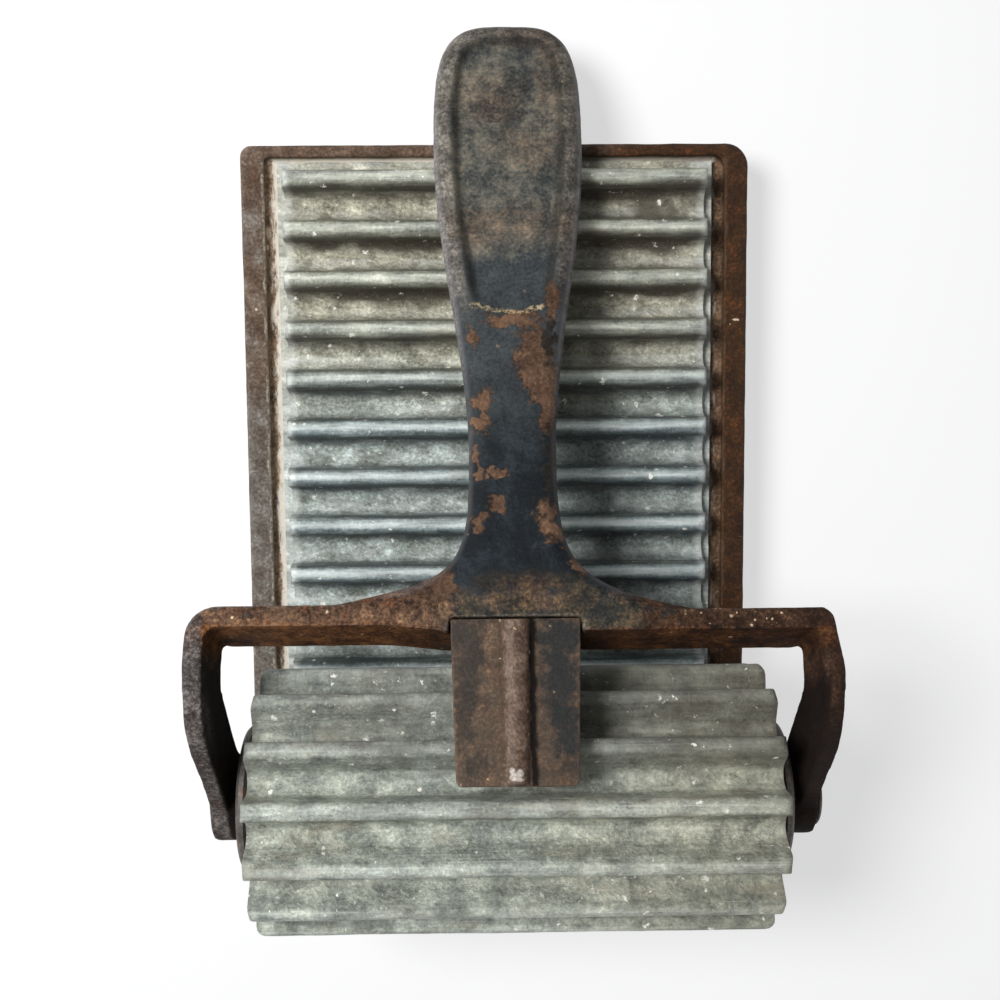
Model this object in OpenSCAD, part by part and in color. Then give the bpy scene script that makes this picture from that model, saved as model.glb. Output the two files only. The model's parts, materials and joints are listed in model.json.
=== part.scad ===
// Rolling hand fluter: a fluted roller in a cast-iron yoke with a flat handle, run over a
// fluted plate that lies in a cast-iron base. Millimetres, +Z up, +Y towards the handle's tip.
// The origin is the middle of the base's underside.

/* [Flutes] */
// Distance from one flute to the next along the plate
flute_pitch = 9.5; // [8:0.1:12]
// Number of flutes round the roller
roller_flutes = 14; // [11:1:18]
// Number of ridges on the plate, an even number
plate_ridges = 14; // [12:2:20]
// Height of the roller's flute tips above its pitch circle
roller_addendum = 2.7; // [2:0.1:3.2]
// Depth of the roller's flutes
roller_flute_depth = 6.6; // [5.8:0.1:7]
// Radius of a roller flute's round tip
roller_bead_r = 1.62; // [1.4:0.02:1.8]
// Height of the plate's ridges above the pitch plane
ridge_rise = 3.2; // [2.4:0.1:3.3]
// Radius of a plate ridge's round top
ridge_r = 1.75; // [1.5:0.05:1.9]
// Gap between the roller's tips and the bottom of the plate's valleys
mesh_gap = 0.3; // [0.2:0.05:0.6]

/* [Base] */
// Width of the base over its rim
base_w = 99.4; // [90:0.1:115]
// Thickness of the base below the bed that the plate lies on
bed_h = 11; // [8:0.5:16]
// Width of the rim along the sides
rim_side = 4.8; // [3.5:0.1:7]
// Width of the rim along the back and the front
rim_end = 2.6; // [2:0.1:5]
// Depth of the tray from the rim's top to the bed
tray_depth = 2.5; // [1.6:0.1:2.6]
// Corner radius of the base
base_corner_r = 3.5; // [1:0.1:6]
// Open groove between the rim and the plate along the sides
groove_side = 2.4; // [1.5:0.1:4]
// Open groove between the rim and the plate at the ends
groove_end = 0.7; // [0.3:0.1:2]

/* [Plate] */
// Height of the pitch plane above the bed
pitch_rise = 6; // [5.8:0.1:8]
// Thickness of the flat margin round the plate's flutes
margin_t = 1.4; // [1:0.1:2]
// Width of that margin along the sides
margin_side = 1.8; // [1:0.1:4]
// Width of that margin at the ends
margin_end = 2.5; // [1.5:0.1:5]
// Radius of the plate screws' shanks
screw_r = 1.4; // [1:0.1:1.6]
// Radius of the plate screws' countersunk heads
screw_head_r = 3.2; // [2.6:0.1:4.5]
// Distance of the plate screws from the middle, across the plate
screw_x = 28; // [15:1:34]

/* [Roller] */
// Length of the fluted shell
roller_l = 91; // [70:0.5:110]
// Wall of the shell under the flutes' roots
shell_wall = 2.7; // [1.5:0.1:4]
// Rounding of the flutes at the shell's ends
flute_end_r = 1.5; // [0.5:0.1:2]
// Distance of the core's end faces inside the shell's ends
core_recess = 0.8; // [0.3:0.1:2]
// Radius of the hub on each end of the core
hub_r = 8.5; // [7.5:0.1:11]
// Gap between the shell's ends and the end discs
disc_gap = 1; // [0.5:0.1:3]
// Radius of the end discs
disc_r = 13; // [10:0.1:14]
// Thickness of the end discs
disc_t = 1.8; // [1:0.1:4]
// Radius of the hub's spigot, riveted over in each end disc
spigot_r = 6; // [5:0.1:7]
// Lean of the topmost flute towards the back, as the roller rests, in degrees
rest_lean = 13; // [0:0.5:25]
// Plate valley that takes the flute opposite, counted from the middle of the plate
rest_valley = -6; // [-6:1:-3]
// Place of the roller and handle across the base, as they rest
unit_x = 2.3; // [-3:0.1:3]

/* [Axle] */
// Radius of the axle
axle_r = 3.2; // [2.5:0.1:4]
// Radial running clearance on the axle
run_clear = 0.05; // [0.02:0.01:0.1]
// Radius of the axle's riveted heads
head_r = 4.8; // [4.5:0.1:6.5]
// Height of the axle's riveted heads
head_h = 1; // [0.8:0.1:2.5]
// Radius of the burr under the right-hand head
burr_r = 6; // [5:0.1:7]
// Thickness of the burr
burr_t = 0.7; // [0.6:0.1:2]
// Play along the axle at each running face
end_play = 0.25; // [0.1:0.05:0.6]

/* [Yoke and handle] */
// Thickness of the yoke's arms
arm_t = 3.4; // [2.5:0.1:5]
// Width of the yoke's arms, seen from the side
arm_w = 12.2; // [9:0.1:13]
// Inner radius of the bend in the arms
bend_r = 3.5; // [2:0.1:6]
// Slope of the arms below the bend, in degrees
arm_slope = 60; // [45:1:75]
// Radius of the eyes at the axle
eye_r = 7.5; // [6.6:0.1:8]
// Height of the eyes' bosses on the inner side
boss_in = 1.7; // [1:0.1:3]
// Height of the eyes' bosses on the outer side
boss_out = 0.4; // [0.3:0.1:2]
// Gap between the roller's tips and the crossbar's front face
bar_clear = 1.7; // [1:0.1:5]
// Thickness of the crossbar
bar_t = 3.6; // [3:0.1:5]
// Depth of the crossbar, seen from the front
bar_h = 14; // [12.5:0.1:15]
// Spread of the arms from the axle to the crossbar's back, on each side
arm_spread = 1; // [0:0.1:1]
// Outer corner radius of the yoke, seen from above
yoke_corner_r = 3.2; // [2:0.1:6]
// Thickness of the handle
handle_t = 5.6; // [4:0.1:8]
// Length of the handle from the crossbar to its tip
handle_l = 113.5; // [105:0.5:130]
// Width of the handle's neck
neck_w = 15.2; // [11:0.1:18]
// Distance of the narrowest part of the neck behind the crossbar
neck_at = 26; // [20:1:35]
// Width of the grip
grip_w = 27.9; // [22:0.1:34]
// Distance of the widest part of the grip behind the crossbar
grip_at = 88; // [75:1:92]
// Spread of the flare where the neck meets the crossbar, on each side
flare_w = 24; // [10:1:30]
// Length in which that flare falls to about a third
flare_l = 4.2; // [3:0.1:6]
// Width of the raised border round the grip's panel
border_w = 3.8; // [2.5:0.1:5]
// Depth of the panel below the border
panel_depth = 1; // [0.4:0.1:1.6]
// Distance of the panel's near end behind the crossbar
panel_at = 53; // [45:1:65]
// Gap under the handle where it rests on the plate's rearmost ridge
rest_gap = 0.3; // [0.2:0.05:0.6]

/* [Tongue] */
// Gap between the roller's tips and the tongue's underside
tongue_clear = 1.4; // [0.8:0.1:3]
// Thickness of the tongue
tongue_t = 3; // [2.4:0.1:4]
// Depth of the tongue's top below the crossbar's top
tongue_drop = 0.8; // [0.3:0.1:2]
// Width of the tongue at the crossbar
tongue_w = 21.7; // [16:0.1:24]
// Width of the tongue at its front end
tongue_tip_w = 20; // [12:0.1:22]
// Distance of the tongue's front end from the axle, measured along the handle
tongue_tip_at = 1; // [0:0.5:8]
// Depth of the notch in the crossbar that takes the tongue
notch_depth = 2.3; // [1:0.1:2.6]
// Radius of the rib along the tongue
rib_r = 2.3; // [1.5:0.1:2.4]
// Thickness of the heel that is riveted to the crossbar
heel_t = 2; // [1.2:0.1:2.4]
// Height of that heel
heel_h = 8.5; // [7:0.1:9]
// Width of that heel
heel_w = 17; // [14:0.5:20]
// Radius of the tongue's rivets
rivet_r = 1.5; // [1:0.1:2]
// Radius of the rivets' heads
rivet_head_r = 2.6; // [2.2:0.1:3.4]
// Distance between the two rivets
rivet_spacing = 10; // [7:0.5:11]
// Clearance at the sides of the tongue in its notch
notch_clear = 0.15; // [0.05:0.05:0.4]

/* [Hidden] */
$fn = 64;
over = 1;
outline_steps = 48;
tip_power = 3.6;
rivet_head_h = 0.5 * rivet_head_r;
screw_engage = 3.4;
screw_recess = 0.5;
head_cone = screw_head_r - screw_r;
slot_w = 0.9;
slot_depth = 0.8;
land_l = 16;
bore_relief = 1.6;
shell_fn = 96;

// Flutes in mesh: the pitch circle rolls on the pitch plane
pitch_r = roller_flutes * flute_pitch / (2 * PI);
tip_r = pitch_r + roller_addendum;
root_r = tip_r - roller_flute_depth;
half_step = 180 / roller_flutes;
roller_valley_r = (root_r * sin(half_step) - roller_bead_r) / (1 - sin(half_step));
roller_valley_at = root_r + roller_valley_r;
plate_valley_r = flute_pitch / 2 - ridge_r;
pitch_z = bed_h + pitch_rise;
valley_z = pitch_z - roller_addendum - mesh_gap;
ridge_centre_z = pitch_z + ridge_rise - ridge_r;

// Base and plate outlines
flutes_l = (plate_ridges - 1) * flute_pitch + 2 * ridge_r;
plate_l = flutes_l + 2 * margin_end;
tray_l = plate_l + 2 * groove_end;
tray_w = base_w - 2 * rim_side;
plate_w = tray_w - 2 * groove_side;
flutes_w = plate_w - 2 * margin_side;
base_l = tray_l + 2 * rim_end;
rim_z = bed_h + tray_depth;
last_ridge_y = (plate_ridges - 1) / 2 * flute_pitch;
screw_y = last_ridge_y - flute_pitch;

// Axle: the leaning flute and its opposite number lie in mesh with the chosen valley
axle_y = rest_valley * flute_pitch + pitch_r * rest_lean * PI / 180;
axle_z = pitch_z + pitch_r;

// Places along the axle, from the middle of the roller
shell_end = roller_l / 2;
core_end = shell_end - core_recess;
disc_in = shell_end + disc_gap;
disc_out = disc_in + disc_t;
boss_face = disc_out + end_play;
arm_in = boss_face + boss_in;
arm_out = arm_in + arm_t;
eye_out = arm_out + boss_out;
head_in = eye_out + end_play;

// Yoke, in the handle's frame: y runs back along the handle, z up from it
tongue_z = tip_r + tongue_clear;
yoke_top = tongue_z + tongue_t + tongue_drop;
bar_front = tip_r + bar_clear;
bar_back = bar_front + bar_t;
bend_out = bend_r + arm_w;
bend_mid = bend_r + arm_w / 2;
bend_z = yoke_top - bend_out;
arm_run = (bend_z + bend_mid * cos(arm_slope)) / sin(arm_slope);
bend_y = bend_mid * sin(arm_slope) + arm_run * cos(arm_slope);
handle_tip = bar_back + handle_l;
neck_y = bar_back + neck_at;
grip_y = bar_back + grip_at;
notch_back = bar_front + notch_depth;
heel_z = tongue_z - heel_h;
rivet_z = tongue_z - heel_h / 2;

// The handle's tilt brings its underside to rest on the plate's rearmost ridge
ridge_dy = last_ridge_y - axle_y;
ridge_dz = ridge_centre_z - axle_z;
under_rise = yoke_top - handle_t - ridge_r - rest_gap;
handle_tilt = asin(under_rise / norm([ridge_dy, ridge_dz])) - atan2(ridge_dz, ridge_dy);

// Half width of the handle at a distance y along it: flare, neck, swelling grip and round tip
function smooth(t) = let (u = min(1, max(0, t))) u * u * (3 - 2 * u);
function swell(y) = smooth((y - neck_y) / (grip_y - neck_y));
function flare(y) = flare_w * exp(-(y - bar_back) / flare_l);
function tip_round(y) = y <= grip_y ? 1 :
    pow(max(0, 1 - pow((y - grip_y) / (handle_tip - grip_y), tip_power)), 1 / tip_power);
function handle_half(y) =
    (neck_w / 2 + (grip_w - neck_w) / 2 * swell(y) + flare(y)) * tip_round(y);

// Stations crowd towards the ends, where the outline turns fastest
function stations(from, to) =
    [for (i = [0 : outline_steps]) from + (to - from) * (1 - cos(180 * i / outline_steps)) / 2];

iron_rust = [0.30, 0.20, 0.15];
iron_black = [0.16, 0.17, 0.19];
iron_bare = [0.33, 0.30, 0.28];
zinc = [0.58, 0.60, 0.57];

// Turns a flat outline drawn in (y, z) into a solid of the given length along X
module along_x(length) {
    rotate([90, 0, 90]) linear_extrude(length, center = true) children();
}

// A cylinder along X between two places
module rod_x(r, from, to) {
    translate([from, 0, 0]) rotate([0, 90, 0]) cylinder(r = r, h = to - from);
}

module at_axle() {
    translate([unit_x, axle_y, axle_z]) children();
}

module in_handle() {
    at_axle() rotate([-handle_tilt, 0, 0]) children();
}

module rounded_plate(w, l, r) {
    square([w - 2 * r, l], center = true);
    square([w, l - 2 * r], center = true);
    for (sx = [-1, 1], sy = [-1, 1])
        translate([sx * (w / 2 - r), sy * (l / 2 - r)]) circle(r);
}

// A low dome standing on the XY plane
module dome(r, h) {
    ball_r = (r * r + h * h) / (2 * h);
    intersection() {
        translate([0, 0, h - ball_r]) sphere(ball_r);
        cylinder(r = r + over, h = h + over);
    }
}

module at_screws() {
    for (sx = [-1, 1], sy = [-1, 1]) translate([sx * screw_x, sy * screw_y, 0]) children();
}

// Shank and countersunk head of a plate screw, or the hole that takes them
module screw_body() {
    translate([0, 0, screw_recess]) cylinder(r = screw_r, h = bed_h + screw_engage - screw_recess);
    translate([0, 0, screw_recess]) cylinder(r1 = screw_head_r, r2 = screw_r, h = head_cone);
}

module base_casting() color(iron_rust) difference() {
    linear_extrude(rim_z) rounded_plate(base_w, base_l, base_corner_r);
    translate([0, 0, bed_h]) linear_extrude(tray_depth + over) square([tray_w, tray_l], center = true);
    at_screws() {
        screw_body();
        translate([0, 0, -over]) cylinder(r = screw_head_r, h = screw_recess + over);
    }
}

// Outline of the plate's flutes: round ridges over half-round valleys, on a flat back
module plate_outline() {
    difference() {
        translate([-flutes_l / 2, bed_h]) square([flutes_l, valley_z + plate_valley_r - bed_h]);
        for (i = [0 : plate_ridges - 2])
            translate([-last_ridge_y + (i + 0.5) * flute_pitch, valley_z + plate_valley_r])
                circle(plate_valley_r);
    }
    for (i = [0 : plate_ridges - 1]) translate([-last_ridge_y + i * flute_pitch, 0]) {
        translate([0, ridge_centre_z]) circle(ridge_r);
        translate([-ridge_r, bed_h]) square([2 * ridge_r, ridge_centre_z - bed_h]);
    }
}

module fluted_plate() color(zinc) difference() {
    union() {
        along_x(flutes_w) plate_outline();
        translate([-plate_w / 2, -plate_l / 2, bed_h]) cube([plate_w, plate_l, margin_t]);
    }
    at_screws() screw_body();
}

module plate_screws() color(iron_bare) at_screws() difference() {
    screw_body();
    translate([-screw_head_r, -slot_w / 2, screw_recess - over]) cube([2 * screw_head_r, slot_w, slot_depth + over]);
}

// Outline of the roller: round-tipped flutes that run into half-round valleys
module roller_outline() {
    difference() {
        circle(roller_valley_at, $fn = shell_fn);
        for (i = [0 : roller_flutes - 1]) rotate((i + 0.5) * 2 * half_step)
            translate([0, roller_valley_at]) circle(roller_valley_r);
    }
    foot = roller_valley_at * cos(half_step);
    crown = tip_r - roller_bead_r;
    for (i = [0 : roller_flutes - 1]) rotate(i * 2 * half_step) {
        translate([-roller_bead_r, foot]) square([2 * roller_bead_r, crown - foot]);
        translate([0, crown]) circle(roller_bead_r);
    }
}

// Half section of a drum whose rims are rounded, for trimming the flutes' ends
module drum_section() {
    square([tip_r - flute_end_r, roller_l]);
    translate([0, flute_end_r]) square([tip_r + over, roller_l - 2 * flute_end_r]);
    for (y = [flute_end_r, roller_l - flute_end_r])
        translate([tip_r - flute_end_r, y]) circle(flute_end_r);
}

module roller_shell() color(zinc) at_axle() rotate([-rest_lean, 0, 0]) difference() {
    intersection() {
        along_x(roller_l) roller_outline();
        translate([-shell_end, 0, 0]) rotate([0, 90, 0])
            rotate_extrude($fn = shell_fn) drum_section();
    }
    rod_x(root_r - shell_wall, -shell_end - over, shell_end + over);
}

module roller_core() color(iron_bare) at_axle() difference() {
    union() {
        rod_x(root_r - shell_wall, -core_end, core_end);
        rod_x(hub_r, -disc_in, disc_in);
        rod_x(spigot_r, -disc_out, disc_out);
    }
    rod_x(axle_r + run_clear, -disc_out - over, disc_out + over);
    rod_x(axle_r + bore_relief, -core_end + land_l, core_end - land_l);
}

module end_disc() {
    difference() {
        rod_x(disc_r, disc_in, disc_out);
        rod_x(spigot_r, disc_in - over, disc_out + over);
    }
}

module end_disc_left() color(iron_bare) at_axle() mirror([1, 0, 0]) end_disc();

module end_disc_right() color(iron_bare) at_axle() end_disc();

module axle_rod() color(iron_bare) at_axle() {
    rod_x(axle_r, -head_in, head_in + burr_t);
    translate([head_in + burr_t, 0, 0]) rotate([0, 90, 0]) dome(head_r, head_h);
    translate([-head_in, 0, 0]) rotate([0, -90, 0]) dome(head_r, head_h);
}

module axle_burr() color(iron_bare) at_axle() difference() {
    rod_x(burr_r, head_in, head_in + burr_t);
    rod_x(axle_r, head_in - over, head_in + burr_t + over);
}

// Plan of the yoke: a U of crossbar and arms, open to the front, whose arms spread towards the back
function spread(y) = arm_spread * y / bar_back;

module yoke_plan() difference() {
    front = -eye_r - over;
    lean = atan(arm_spread / bar_back);
    corner_y = bar_back - yoke_corner_r;
    corner_x = arm_out + spread(corner_y) - yoke_corner_r / cos(lean);
    edge = [[arm_out + spread(front), front],
            [corner_x, corner_y] + yoke_corner_r * [cos(lean), -sin(lean)],
            [corner_x, bar_back]];
    union() {
        polygon(concat(edge, [for (i = [2 : -1 : 0]) [-edge[i][0], edge[i][1]]]));
        for (s = [-1, 1]) translate([s * corner_x, corner_y]) circle(yoke_corner_r);
    }
    for (s = [-1, 1])
        polygon([[-s * over, front - over], [s * (arm_in + spread(front - over)), front - over],
                 [s * (arm_in + spread(bar_front)), bar_front], [-s * over, bar_front]]);
}

// Side view of the yoke: the eye, the sloping arm, its bend and the crossbar
module yoke_side() {
    along = [cos(arm_slope), sin(arm_slope)];
    across = [-sin(arm_slope), cos(arm_slope)] * arm_w / 2;
    far = 3 * bend_out;
    circle(eye_r);
    polygon([across, -across, along * arm_run - across, along * arm_run + across]);
    intersection() {
        translate([bend_y, bend_z]) difference() {
            circle(bend_out);
            circle(bend_r);
        }
        translate([bend_y, bend_z])
            polygon([[0, 0], [0, far], [-far * sin(arm_slope / 2), far * cos(arm_slope / 2)],
                     far * across * 2 / arm_w]);
    }
    translate([bend_y, yoke_top - arm_w]) square([bar_back - bend_y, arm_w]);
    translate([bar_front, yoke_top - bar_h]) square([bar_t, bar_h]);
}

// Plan of the handle from the crossbar to the tip
module handle_plan() {
    ys = stations(bar_back - bar_t + notch_depth + over / 2, handle_tip);
    polygon(concat([for (y = ys) [handle_half(y), y]],
                   [for (i = [outline_steps - 1 : -1 : 0]) [-handle_half(ys[i]), ys[i]]]));
}

// Plan of the grip's sunk panel, round at its near end
module panel_plan() {
    near = bar_back + panel_at;
    ys = stations(near, handle_tip - border_w);
    function half(y) = max(0, handle_half(y) - border_w) * sqrt(smooth((y - near) / border_w / 2));
    polygon(concat([for (y = ys) [half(y), y]],
                   [for (i = [outline_steps : -1 : 1]) [-half(ys[i]), ys[i]]]));
}

module handle_yoke() color(iron_black) in_handle() difference() {
    union() {
        intersection() {
            translate([0, 0, -eye_r]) linear_extrude(yoke_top + eye_r) yoke_plan();
            along_x(2 * (arm_out + arm_spread)) yoke_side();
        }
        translate([0, 0, yoke_top - handle_t]) linear_extrude(handle_t) handle_plan();
        rod_x(eye_r, boss_face, eye_out);
        rod_x(eye_r, -eye_out, -boss_face);
    }
    translate([0, 0, yoke_top - panel_depth]) linear_extrude(panel_depth + over) panel_plan();
    translate([-tongue_w / 2 - notch_clear, bar_front - over, tongue_z])
        cube([tongue_w + 2 * notch_clear, notch_depth + over, yoke_top]);
    rotate([arm_slope, 0, 0]) rod_x(axle_r + run_clear, -eye_out - over, eye_out + over);
    at_rivets() cylinder(r = rivet_r, h = bar_t + 2 * over);
}

// Rivet places, with z running back through the crossbar from one unit before its front
module at_rivets() {
    for (s = [-1, 1]) translate([s * rivet_spacing / 2, bar_front - over, rivet_z])
        rotate([-90, 0, 0]) children();
}

module tongue() color(iron_rust) in_handle() difference() {
    union() {
        translate([0, 0, tongue_z]) linear_extrude(tongue_t)
            polygon([[-tongue_w / 2, notch_back], [tongue_w / 2, notch_back],
                     [tongue_tip_w / 2, tongue_tip_at], [-tongue_tip_w / 2, tongue_tip_at]]);
        translate([0, tongue_tip_at, tongue_z + tongue_t]) rotate([-90, 0, 0])
            cylinder(r = rib_r, h = notch_back - tongue_tip_at);
        translate([-heel_w / 2, bar_front - heel_t, heel_z]) cube([heel_w, heel_t, heel_h + tongue_t / 2]);
    }
    at_rivets() translate([0, 0, -heel_t]) cylinder(r = rivet_r, h = heel_t + 2 * over);
}

module tongue_rivets() color(iron_bare) in_handle() at_rivets() {
    translate([0, 0, over - heel_t]) cylinder(r = rivet_r, h = heel_t + bar_t);
    translate([0, 0, over - heel_t]) rotate([180, 0, 0]) dome(rivet_head_r, rivet_head_h);
    translate([0, 0, over + bar_t]) dome(rivet_head_r, rivet_head_h);
}

base_casting();
fluted_plate();
plate_screws();
roller_shell();
roller_core();
end_disc_left();
end_disc_right();
axle_rod();
axle_burr();
handle_yoke();
tongue();
tongue_rivets();
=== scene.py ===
import json
import math
import bmesh
import bpy
from mathutils import Matrix, Vector, kdtree, noise


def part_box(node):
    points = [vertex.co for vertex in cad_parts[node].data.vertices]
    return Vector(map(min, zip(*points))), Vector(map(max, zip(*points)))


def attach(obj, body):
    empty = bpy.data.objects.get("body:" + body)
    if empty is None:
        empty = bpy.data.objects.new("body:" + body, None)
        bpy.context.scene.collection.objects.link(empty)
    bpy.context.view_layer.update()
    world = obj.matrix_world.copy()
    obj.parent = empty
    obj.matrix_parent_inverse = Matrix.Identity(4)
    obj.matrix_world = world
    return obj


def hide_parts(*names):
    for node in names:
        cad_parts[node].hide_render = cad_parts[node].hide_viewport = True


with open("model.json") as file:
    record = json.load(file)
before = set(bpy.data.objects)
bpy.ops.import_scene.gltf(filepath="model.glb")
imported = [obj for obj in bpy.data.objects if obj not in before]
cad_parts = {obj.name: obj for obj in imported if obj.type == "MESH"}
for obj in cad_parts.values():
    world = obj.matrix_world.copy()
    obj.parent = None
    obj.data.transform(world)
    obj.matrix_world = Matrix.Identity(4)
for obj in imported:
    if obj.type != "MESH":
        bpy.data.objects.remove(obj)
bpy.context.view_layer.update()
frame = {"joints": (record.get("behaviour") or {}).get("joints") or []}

# Base casting: a heavy tray of grey cast iron that the fluted plate lies in.
# It came out of a sand mould, so its edges are round and its skin is uneven, and it has rusted brown.
# Four countersunk holes in the underside take the screws that hold the plate.
MM = 0.001
base_low, base_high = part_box("base_casting")
plate_low, plate_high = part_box("fluted_plate")
screws_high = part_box("plate_screws")[1]
bed_z = plate_low.z
rim_side = 4.8 * MM
rim_end = 2.6 * MM
rim_round = 1.3 * MM
foot_round = 0.8 * MM
lip_round = 0.7 * MM
tray_round = 0.9 * MM
base_corners = [4.6 * MM, 2.3 * MM, 3.5 * MM, 3.5 * MM]
tray_corners = [2.4 * MM, 0.9 * MM, 1.4 * MM, 1.4 * MM]
screw_head_r = 3.2 * MM
screw_r = 1.4 * MM
screw_sink = 0.5 * MM
screw_x = screws_high.x - screw_head_r
screw_y = screws_high.y - screw_head_r


class Wire:
    """A socket in a node tree. Arithmetic on it adds Math nodes, and node() adds any other node."""

    def __init__(self, tree, socket=None):
        self.tree = tree
        self.socket = socket

    def node(self, kind, sockets=None, out=0, **settings):
        """One output of a new node that has these settings, and these wires or values in its sockets."""
        made = self.tree.nodes.new(kind)
        for name, value in settings.items():
            setattr(made, name, value)
        for name, value in (sockets or {}).items():
            for item in value if isinstance(value, list) else [value]:
                if isinstance(item, Wire):
                    self.tree.links.new(item.socket, made.inputs[name])
                else:
                    made.inputs[name].default_value = item
        return Wire(self.tree, made.outputs[out] if made.outputs else None)

    def math(self, operation, *others):
        return self.node("ShaderNodeMath", dict(enumerate((self, *others))), operation=operation)

    def __add__(self, other):
        return self.math("ADD", other)

    __radd__ = __add__

    def __sub__(self, other):
        return self.math("SUBTRACT", other)

    def __rsub__(self, other):
        return self.node("ShaderNodeMath", {0: other, 1: self}, operation="SUBTRACT")

    def __mul__(self, other):
        return self.math("MULTIPLY", other)

    __rmul__ = __mul__

    def __truediv__(self, other):
        return self.math("DIVIDE", other)

    def __neg__(self):
        return 0 - self

    def __abs__(self):
        return self.math("ABSOLUTE")

    def smooth(self, low, high):
        """0 where the value is at low or beyond, 1 at high, with an S-curve between."""
        return self.node("ShaderNodeMapRange", {"Value": self, "From Min": low, "From Max": high},
                         interpolation_type="SMOOTHSTEP")

    def mix(self, first, second):
        """The first colour where the value is 0, the second where it is 1. Three numbers are screen values."""
        first, second = (tone(*colour) if isinstance(colour, tuple) and len(colour) == 3 else colour
                         for colour in (first, second))
        return self.node("ShaderNodeMix", {0: self, 6: first, 7: second}, out=2, data_type="RGBA")

    def axes(self):
        """Its x, y and z."""
        split = self.node("ShaderNodeSeparateXYZ", {0: self})
        return [Wire(self.tree, socket) for socket in split.socket.node.outputs]

    def vector(self, x=0, y=0, z=0):
        """Three values or numbers as one vector."""
        return self.node("ShaderNodeCombineXYZ", {0: x, 1: y, 2: z})

    def lift(self, height):
        """The geometry, raised by a height."""
        shift = self.vector(z=height)
        return self.node("GeometryNodeTransform", {"Geometry": self, "Translation": shift})

    def stretch(self, x, y, z, turn=(0, 0, 0), shift=(0, 0, 0)):
        """The coordinates turned, then scaled on each axis, for a pattern with a grain."""
        turned = self.node("ShaderNodeMapping", {"Vector": self, "Rotation": turn, "Location": shift})
        return turned.node("ShaderNodeMapping", {"Vector": turned, "Scale": (x, y, z)})

    def cloud(self, scale, detail=4.0, rough=0.55):
        """Noise from 0 to 1 at these coordinates."""
        return self.node("ShaderNodeTexNoise",
                         {"Vector": self, "Scale": scale, "Detail": detail, "Roughness": rough})

    def strong(self):
        """The same noise, spread over the whole range from 0 to 1."""
        return self.smooth(0.3, 0.7)

    def ramp(self, *stops):
        """A colour by the value, from stops of a place and the red, green and blue on screen."""
        made = self.node("ShaderNodeValToRGB", {0: self})
        elements = made.socket.node.color_ramp.elements
        for place, *colour in stops[1:-1]:
            elements.new(place)
        for element, (place, *colour) in zip(elements, stops):
            element.position = place
            element.color = tone(*colour)
        return made


def clamp(value):
    return value.math("MAXIMUM", 0).math("MINIMUM", 1)


def tone(red, green, blue):
    """A colour given in screen values from 0 to 255, as linear light."""
    light = [((c / 255 + 0.055) / 1.055) ** 2.4 if c > 10 else c / 255 / 12.92 for c in (red, green, blue)]
    return (*light, 1.0)


def open_material(name):
    """A new material, and its Object coordinates in millimetres."""
    material = bpy.data.materials.new(name)
    material.use_nodes = True
    material.node_tree.nodes.clear()
    place = Wire(material.node_tree).node("ShaderNodeTexCoord", out="Object")
    scaled = place.node("ShaderNodeVectorMath", {0: place, "Scale": 1 / MM}, operation="SCALE")
    return material, scaled


def close_material(place, colour, roughness, metallic, height, depth, gloss=0.5):
    """Joins the finish to the output, with a bump whose height is in millimetres."""
    bump = place.node("ShaderNodeBump", {"Height": height, "Strength": 1.0, "Distance": depth * MM})
    surface = place.node("ShaderNodeBsdfPrincipled",
                         {"Base Color": colour, "Roughness": roughness, "Metallic": metallic, "Normal": bump,
                          "Specular IOR Level": gloss})
    place.node("ShaderNodeOutputMaterial", {"Surface": surface})


def marks(place, ovals, ragged, soft):
    """1 inside any of the ragged ovals (x, y, half length, half width), 0 well outside them."""
    at_x, at_y, _ = place.axes()
    total = 0
    for x, y, long, wide in ovals:
        far = ((at_x - x) / long).math("POWER", 2) + ((at_y - y) / wide).math("POWER", 2)
        total = 1 - (far.math("SQRT") + ragged).smooth(1 - soft, 1 + soft) + total
    return clamp(total)


rim_chips = [(-44.6, 52.6, 0.4, 1.2), (-44.8, 49.8, 0.2, 0.5), (47.4, 35.0, 0.7, 0.22),
             (-47.0, 37.6, 0.25, 0.25)]


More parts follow.
